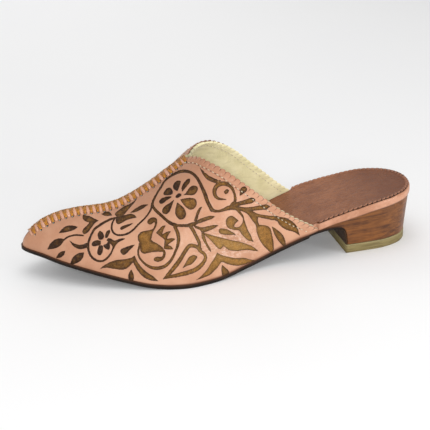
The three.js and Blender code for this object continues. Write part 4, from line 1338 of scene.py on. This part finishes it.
def insoleRing(n, angles, wave, side, inset, level, share):
    at = stationAt(angles)
    front = vampEnds["lobes"][side]
    onHeel = 1 - smoothStep(at, front - 0.9, front)
    lobe = np.abs(np.sin(math.pi * wave)) ** 0.5
    outer = onHeel * (n["lap"] + n["lobeDepth"] * (1 - lobe)) + (1 - onHeel) * insoleInset(side, at)
    edge = edgeLine(side, angles, outer + inset)
    inward = np.clip(edge[:, 0], 14, 236)
    spot = edge + (np.stack([inward, centreShift(inward)], -1) - edge) * share
    rim = share == 0
    thick = readCurve(bed, "insole", spot[:, 0])
    high = bedAt(spot[:, 0], spot[:, 1]) + shoe["gap"] + thick
    high = high + n["rise"] * onHeel * smoothStep(inset, 5, 1.2) * rim
    puffed, line = lobeRelief(wave, inset, 0.22, 1.6)
    onLobe = onHeel * smoothStep(inset, 2.4, 0.9) * rim
    cusp = line * onHeel * smoothStep(inset, 2.2, 0.6) * rim
    puff = n["puff"] * puffed * onLobe - 0.22 * cusp - 0.1 * onHeel * hump(inset, 2.5, 0.4) * rim
    height = high + (puff if level >= -0.5 else 0) + level
    wall = float(level < -0.2)
    # painted shade: notches between lobes, the wall under the edge and the seam line
    grooveShade = np.maximum(cusp * 0.95, onHeel * (0.75 * wall + 0.12 * hump(inset, 2.5, 0.35) * rim))
    return np.column_stack([spot, height]), {
        "tab": 0.55 * puffed * onLobe * (1 - wall),
        "grooveShade": np.clip(grooveShade, 0, 1),
        # painted shade: darker towards the front, under the vamp
        "deep": 0.85 * smoothStep(spot[:, 0], 92, 150),
        "back": 0.65 * smoothStep(spot[:, 0], 66, 16),
    }


def makeInsoleHoleShades(sides):
    # dark discs of painted shade in the holes between the lobes, which the seam to the edge strip goes
    # down
    n = insole
    holeShades = newBundle()
    t = np.linspace(-1, 1, 7)
    upward = np.tile([0.0, 0.0, 1.0], (len(t), 1))
    for side, (angles, wave) in sides.items():
        for k in range(1, int(wave.max()) + 1):
            if np.interp(k, wave, stationAt(angles)) > n["lastHole"]:
                break
            angle = float(np.interp(k, wave, angles))
            spot = edgeLine(side, np.full(len(t), angle), n["lap"] + 0.25 + 0.62 * t)
            high = bedAt(spot[:, 0], spot[:, 1]) + readCurve(bed, "insole", spot[:, 0]) + shoe["gap"]
            path = np.column_stack([spot, high + n["rise"] + 0.12 + 0.1 * t])
            girth = 0.36 * beadGirth(t, 0.03)
            sweep(holeShades, path, upward, girth, girth * 0.5 + 0.05, 8)
    makeBundle("insoleHoleShades", holeShades, finishes["holeShade"])


def makeInsole():
    # rings from under the edge, round it and in to the middle line: inset, level and share
    rings = [(2.6, -1.3, 0), (0.45, -1.1, 0), (0.1, -0.75, 0),
             (0.0, -0.42, 0), (0.06, -0.16, 0), (0.2, -0.03, 0)]
    insets = (0.35, 0.55, 0.8, 1.05, 1.3, 1.6, 1.9, 2.2, 2.5, 2.9, 3.5, 4.3, 5.2)
    rings += [(inset, 0, 0) for inset in insets]
    rings += [(5.2, 0, share) for share in (0.04, 0.09, 0.15, 0.23, 0.33, 0.45, 0.58, 0.72, 0.86, 1.0)]
    rows, attributes = [], {"tab": [], "grooveShade": [], "deep": [], "back": []}
    sides = {side: insoleSide(side) for side in signOf}
    for inset, level, share in rings:
        parts = [insoleRing(insole, *sides[side], side, inset, level, share) for side in signOf]
        rows.append(np.concatenate([parts[0][0], parts[1][0][::-1]]))
        for key in attributes:
            attributes[key].append(np.concatenate([parts[0][1][key], parts[1][1][key][::-1]]))
    grid = np.array(rows)
    faces = gridFaces(grid.shape[0], grid.shape[1], loop=True, turned=True)
    piece = makePiece("insoleCover", grid.reshape(-1, 3), faces, finishes["insole"],
                      {key: np.array(values) for key, values in attributes.items()})
    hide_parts("insole")
    makeInsoleHoleShades(sides)


rand = {"front": 73.2, "steps": 190}


def makeRand():
    lateral = np.linspace(stationAngle(rand["front"]), 0, rand["steps"])
    medial = np.linspace(0, stationAngle(rand["front"] + 1), rand["steps"])[1:]
    # section from its foot up the outside, over the top and down the inside
    section = [(0.25, -0.03), (0.05, 0.03), (-0.1, 0.16), (-0.16, 0.4), (-0.12, 0.65), (0.0, 0.82),
               (0.2, 0.92), (0.5, 0.97), (0.9, 0.97), (1.3, 0.95), (1.6, 0.9), (1.6, 0.5), (1.6, 0.0)]
    rows, grooveShadeRows = [], []
    for inset, level in section:
        parts = []
        for side, angles in (("lateral", lateral), ("medial", medial)):
            at = stationAt(angles)
            # its front ends tuck in under the vamp
            end = vampEnds["strip"][side]
            tuck = 1.7 * smoothStep(at, end, end + 1.6)
            spot = edgeLine(side, angles, inset + tuck)
            wave = 0.07 * np.sin(spot[:, 0] * 0.55) + 0.05 * np.sin(spot[:, 1] * 0.8 + spot[:, 0] * 0.21)
            thick = readCurve(bed, "insole", spot[:, 0])
            low = bedAt(spot[:, 0], spot[:, 1]) + shoe["gap"] * 0.6
            parts.append(np.column_stack([spot, low + (thick + 0.1) * level + wave * (level > 0.3)]))
        rows.append(np.concatenate(parts))
        # painted shade on the strip's foot, its lowest rows and its inner side
        shaded = 0.5 if level < 0.1 or inset > 1 else 0
        grooveShadeRows.append(np.full(len(rows[-1]), 0.95 if level < 0 else shaded))
    grid = np.array(rows)
    faces = gridFaces(grid.shape[0], grid.shape[1], turned=True)
    piece = makePiece("edgeStrip", grid.reshape(-1, 3), faces, finishes["rand"],
                      {"grooveShade": np.array(grooveShadeRows)})
    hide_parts("rand")


heel = {
    "breastAt": 49.8,
    "liftFront": 50.9,
    "wedgeFront": 73.2,
    "liftHeight": 5.6,
    "insetTop": 0.6,
    "insetFoot": 1.7,
    "backSlope": 1.5,
}
breast = {   # underside of the wood, from the tip of its wedge back and down
    "at": [76.5, 70, 64, 59, 55, 53, 51.6, 50.7, 50.2, 49.8],
    "height": [16.6, 18.2, 19.2, 19.4, 18.9, 17.9, 16.2, 13.8, 10.2, 5.9],
}


def breastPoints(count):
    # the breast line as evenly spaced points with their directions
    points = np.column_stack([breast["at"], breast["height"]]).astype(float)
    knots = np.concatenate([[0], np.cumsum(np.linalg.norm(np.diff(points, axis=0), axis=1) ** 0.5)])
    ghost = np.vstack([2 * points[0] - points[1], points, 2 * points[-1] - points[-2]])
    times = np.concatenate([[-knots[1]], knots, [2 * knots[-1] - knots[-2]]])
    dense = []
    for i in range(1, len(ghost) - 2):
        t0, t1, t2, t3 = times[i - 1:i + 3]
        p0, p1, p2, p3 = ghost[i - 1:i + 3]
        span = t2 - t1
        m1 = span * ((p1 - p0) / (t1 - t0) - (p2 - p0) / (t2 - t0) + (p2 - p1) / span)
        m2 = span * ((p2 - p1) / span - (p3 - p1) / (t3 - t1) + (p3 - p2) / (t3 - t2))
        t = np.linspace(0, 1, 20, endpoint=False)[:, None]
        dense.append(p1 * (1 + 2 * t) * (1 - t) ** 2 + p2 * t * t * (3 - 2 * t)
                     + m1 * t * (1 - t) ** 2 - m2 * t * t * (1 - t))
    dense = np.vstack(dense + [points[-1:]])
    arc = arcAlong(dense)
    spots = np.linspace(0, arc[-1], count)
    line = np.column_stack([np.interp(spots, arc, dense[:, k]) for k in (0, 1)])
    return line, unit(np.gradient(line, axis=0))


def breastRise(at, height):
    heelFoot = heel["liftHeight"] + shoe["gap"]
    return readCurve(bed, "archRise", at) * smoothStep(height, heelFoot, 18)


def archShare(at, across):
    lateral = halfWidth("lateral", at)
    return np.clip((lateral - across) / (lateral + halfWidth("medial", at)), 0, 1)


def loftRings(rings):
    # skin over closed rings of points, with the first and last closed by a strip across
    grid = np.array(rings)
    count = grid.shape[1]
    faces = [gridFaces(len(grid), count, loop=True)]
    for start, back in ((0, True), ((len(grid) - 1) * count, False)):
        quads = [[start + k, start + k + 1, start + count - 2 - k, start + count - 1 - k]
                 for k in range(count // 2 - 1)]
        faces.append(np.array([quad if back else quad[::-1] for quad in quads]))
    return grid.reshape(-1, 3), np.concatenate(faces)


def outwardFaces(points, faces):
    a, b, c, d = (points[faces[:, k]] for k in range(4))
    volume = (a * np.cross(b, c)).sum() + (a * np.cross(c, d)).sum()
    return faces if volume > 0 else faces[:, ::-1]


def wallRing(lowLateral, highLateral, highMedial, lowMedial, footRound, bow=0.0, topRound=None):
    # ring across the shoe from four corners, with rounded edges and slightly bowed walls
    topRound = footRound if topRound is None else topRound
    corners = [np.array(c, float) for c in (lowLateral, highLateral, highMedial, lowMedial)]
    width = max(np.linalg.norm(corners[1] - corners[2]), 1e-3)
    ring = []
    for low, high, other in ((corners[0], corners[1], corners[2]), (corners[3], corners[2], corners[1])):
        tall = max(np.linalg.norm(high - low), 1e-3)
        rise = (high - low) / tall
        inward = unit(other - high)
        part = []
        for radius, base, way in ((footRound, low, 1), (topRound, high, -1)):
            radius = min(radius, tall * 0.4, width * 0.3)
            turns = np.linspace(0, math.pi / 2, 5)
            arc = [base + inward * radius * (1 - math.sin(t)) + rise * way * radius * (1 - math.cos(t))
                   for t in turns]
            part += arc if way == 1 else arc[::-1]
        middle = [low + (high - low) * s - inward * bow * 4 * s * (1 - s) for s in (0.3, 0.5, 0.7)]
        part = part[:5] + middle + part[5:]
        ring += part if not ring else part[::-1]
    return ring


def makeHeel():
    h = heel
    heelFoot = h["liftHeight"] + shoe["gap"]
    rings = []

    def addRing(topAngle, footAngle, shift, lowZ, rise, footAt):
        corners = []
        for side in signOf:
            top = edgeLine(side, topAngle, h["insetTop"])[0]
            foot = edgeLine(side, footAngle, h["insetFoot"])[0] + (shift, 0)
            low = lowZ + rise * float(archShare(footAt, foot[1]))
            corners.append(((*foot, low), (*top, float(bedAt(top[0], top[1])))))
        (lowL, highL), (lowM, highM) = corners
        rings.append(wallRing(lowL, highL, highM, lowM, 0.35, -0.15))

    for angle in np.linspace(0.02, float(stationAngle(h["breastAt"])), 46):
        shift = h["backSlope"] * (1 - float(stationAt(angle)) / h["breastAt"])
        addRing(angle, angle, shift, heelFoot, 0.0, 10.0)
    line = breastPoints(60)[0][::-1]
    steps = 52
    tip = 56      # the wedge's tip, short of the line's last points
    for k in range(1, steps + 1):
        foot = line[int(round(k / steps * tip))]
        topAt = h["breastAt"] + (h["wedgeFront"] - h["breastAt"]) * (k / steps) ** 1.2
        footAt = min(foot[0], h["wedgeFront"])
        rise = float(breastRise(footAt, foot[1]))
        addRing(float(stationAngle(topAt)), float(stationAngle(footAt)), 0, foot[1], rise, footAt)
    points, faces = loftRings(rings)
    piece = makePiece("woodHeel", points, outwardFaces(points, faces), finishes["wood"])
    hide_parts("heel")


def makeTopLift():
    h = heel
    rings = []
    for angle in np.linspace(0.02, float(stationAngle(h["liftFront"])), 60):
        shift = h["backSlope"] * max(1 - float(stationAt(angle)) / h["breastAt"], 0)
        places = [edgeLine(side, angle, h["insetFoot"] - 0.15)[0] + (shift, 0) for side in signOf]
        (lx, ly), (mx, my) = places
        high = h["liftHeight"]
        rings.append(wallRing((lx, ly, 0), (lx, ly, high), (mx, my, high), (mx, my, 0), 0.45))
    points, faces = loftRings(rings)
    rim = smoothStep(points[:, 2], h["liftHeight"] - 0.6, h["liftHeight"] - 0.1)
    piece = makePiece("topLift", points, outwardFaces(points, faces), finishes["topLift"],
                      {"rim": rim})
    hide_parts("top_lift")


outsole = {
    "thickness": 2.2,
    "waistThickness": 1.6,
    "flapThickness": 0.8,      # where it turns down the front of the heel
    "waistInset": 1.6,
    "flapInset": 2.2,
    "stepAt": 77,
    "lap": 0.25,               # the forepart's edge stands up this far beside the vamp's foot
}


def makeOutsole():
    o = outsole
    rings = []
    for angle in np.linspace(math.pi - 0.01, float(stationAngle(o["stepAt"])), 260):
        (lx, ly), (mx, my) = (edgeLine(side, angle, -0.1)[0] for side in signOf)
        highL = float(bedAt(lx, ly)) + o["lap"]
        highM = float(bedAt(mx, my)) + o["lap"]
        lowL = highL - o["lap"] - o["thickness"]
        lowM = highM - o["lap"] - o["thickness"]
        rings.append(wallRing((lx, ly, lowL), (lx, ly, highL), (mx, my, highM), (mx, my, lowM),
                              0.55, 0.1, 0.25))
    line, direction = breastPoints(90)
    for spot, along in list(zip(line, direction))[2:]:
        outward = np.array([-along[1], along[0]])
        corners = []
        flap = float(smoothStep(spot[0], 56, 51.3))
        thick = o["waistThickness"] + (o["flapThickness"] - o["waistThickness"]) * flap
        inset = o["waistInset"] + (o["flapInset"] - o["waistInset"]) * flap
        for depth in (shoe["gap"] * 0.3, shoe["gap"] + thick):
            at, height = spot + outward * depth
            for side in signOf:
                edge = edgeLine(side, float(stationAngle(at)), inset)[0]
                rise = float(breastRise(at, height)) * float(archShare(at, edge[1]))
                corners.append((at, edge[1], height + rise))
        highL, highM, lowL, lowM = corners
        rings.append(wallRing(lowL, highL, highM, lowM, 0.5, 0.05, 0.2))
    points, faces = loftRings(rings)
    ringSize = len(rings[0])
    level = np.zeros(ringSize)
    half = ringSize // 2
    profile = np.linspace(0, 1, half)
    level[:half] = smoothStep(profile, 0.5, 0.95)
    level[half:] = level[:half][::-1]
    welt = np.tile(level, len(rings))
    flap = 0.75 * smoothStep(points[:, 0], 54.5, 52) * smoothStep(points[:, 2], 17.5, 14.5)
    piece = makePiece("soleRubber", points, outwardFaces(points, faces), finishes["outsole"],
                      {"welt": welt, "flap": flap}, merge=False)
    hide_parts("outsole")


makeInsole()
makeRand()
makeHeel()
makeTopLift()
makeOutsole()
print("sole, insole and heel made")

# Floor, lights and camera.

studio = {
    "floorTone": (0.96, 0.96, 0.96, 1),
    "floorShade": (0.95, 0.95, 0.955, 1),
    "floorHalf": 30,
    "sky": (1.0, 1.0, 1.0, 1),
    "skyStrength": 0.58,
    "aim": (0, 0, 0.03),      # the shoe's middle
    # name, place, size and power
    "lights": [
        ("keyLight", (-0.8, 0.75, 0.15), 0.2, 3.8),
        ("frontLight", (0.2, 1.1, 0.5), 0.25, 5.6),
        ("topLight", (0.05, 0.1, 1.3), 0.9, 3.4),
        ("backLight", (0.1, -1.0, 0.6), 0.7, 1.4),
    ],
}


def makeStudio():
    mesh = bpy.data.meshes.new("floor")
    h = studio["floorHalf"]
    mesh.from_pydata([(-h, -h, 0), (h, -h, 0), (h, h, 0), (-h, h, 0)], [], [(0, 1, 2, 3)])
    floor = bpy.data.objects.new("floor", mesh)
    bpy.context.scene.collection.objects.link(floor)
    plain = Finish("floorPaper", roughness=0.9, specular=0.1)
    faint = plain.span(plain.noise(400, 3), 0.3, 0.7)
    mesh.materials.append(plain.finish(plain.blend(faint, studio["floorTone"], studio["floorShade"])))
    world = bpy.data.worlds.new("studioSky")
    bpy.context.scene.world = world
    world.use_nodes = True
    sky = world.node_tree.nodes["Background"]
    sky.inputs["Color"].default_value = studio["sky"]
    sky.inputs["Strength"].default_value = studio["skyStrength"]
    for name, place, size, power in studio["lights"]:
        light = bpy.data.lights.new(name, "AREA")
        light.size = size
        light.energy = power
        lamp = bpy.data.objects.new(name, light)
        lamp.location = place
        aim = Vector(studio["aim"]) - Vector(place)
        lamp.rotation_euler = aim.to_track_quat("-Z", "Y").to_euler()
        bpy.context.scene.collection.objects.link(lamp)


view = {
    "place": (0.132795, 0.592054, 0.287861),
    "yaw": -12.404,        # turned from straight across the shoe, in degrees
    "pitch": 22.929,       # looking down
    "roll": -1.919,
    "lens": 86.5,
    "shift": (-0.006, -0.014),
}


def makeCamera():
    yaw, pitch, roll = (math.radians(view[key]) for key in ("yaw", "pitch", "roll"))
    ahead = Vector((math.sin(yaw) * math.cos(pitch), -math.cos(yaw) * math.cos(pitch), -math.sin(pitch)))
    right = ahead.cross(Vector((0, 0, 1))).normalized()
    up = right.cross(ahead)
    turnedRight = math.cos(roll) * right + math.sin(roll) * up
    turnedUp = -math.sin(roll) * right + math.cos(roll) * up
    data = bpy.data.cameras.new("camera")
    data.lens = view["lens"]
    data.sensor_width = 36
    data.shift_x, data.shift_y = view["shift"]
    data.clip_start, data.clip_end = 0.01, 100
    camera = bpy.data.objects.new("camera", data)
    turn = Matrix((turnedRight, turnedUp, -ahead)).transposed().to_4x4()
    camera.matrix_world = Matrix.Translation(view["place"]) @ turn
    bpy.context.scene.collection.objects.link(camera)
    bpy.context.scene.camera = camera


makeStudio()
makeCamera()
bpy.context.scene.view_settings.view_transform = "Standard"
bpy.context.view_layer.update()
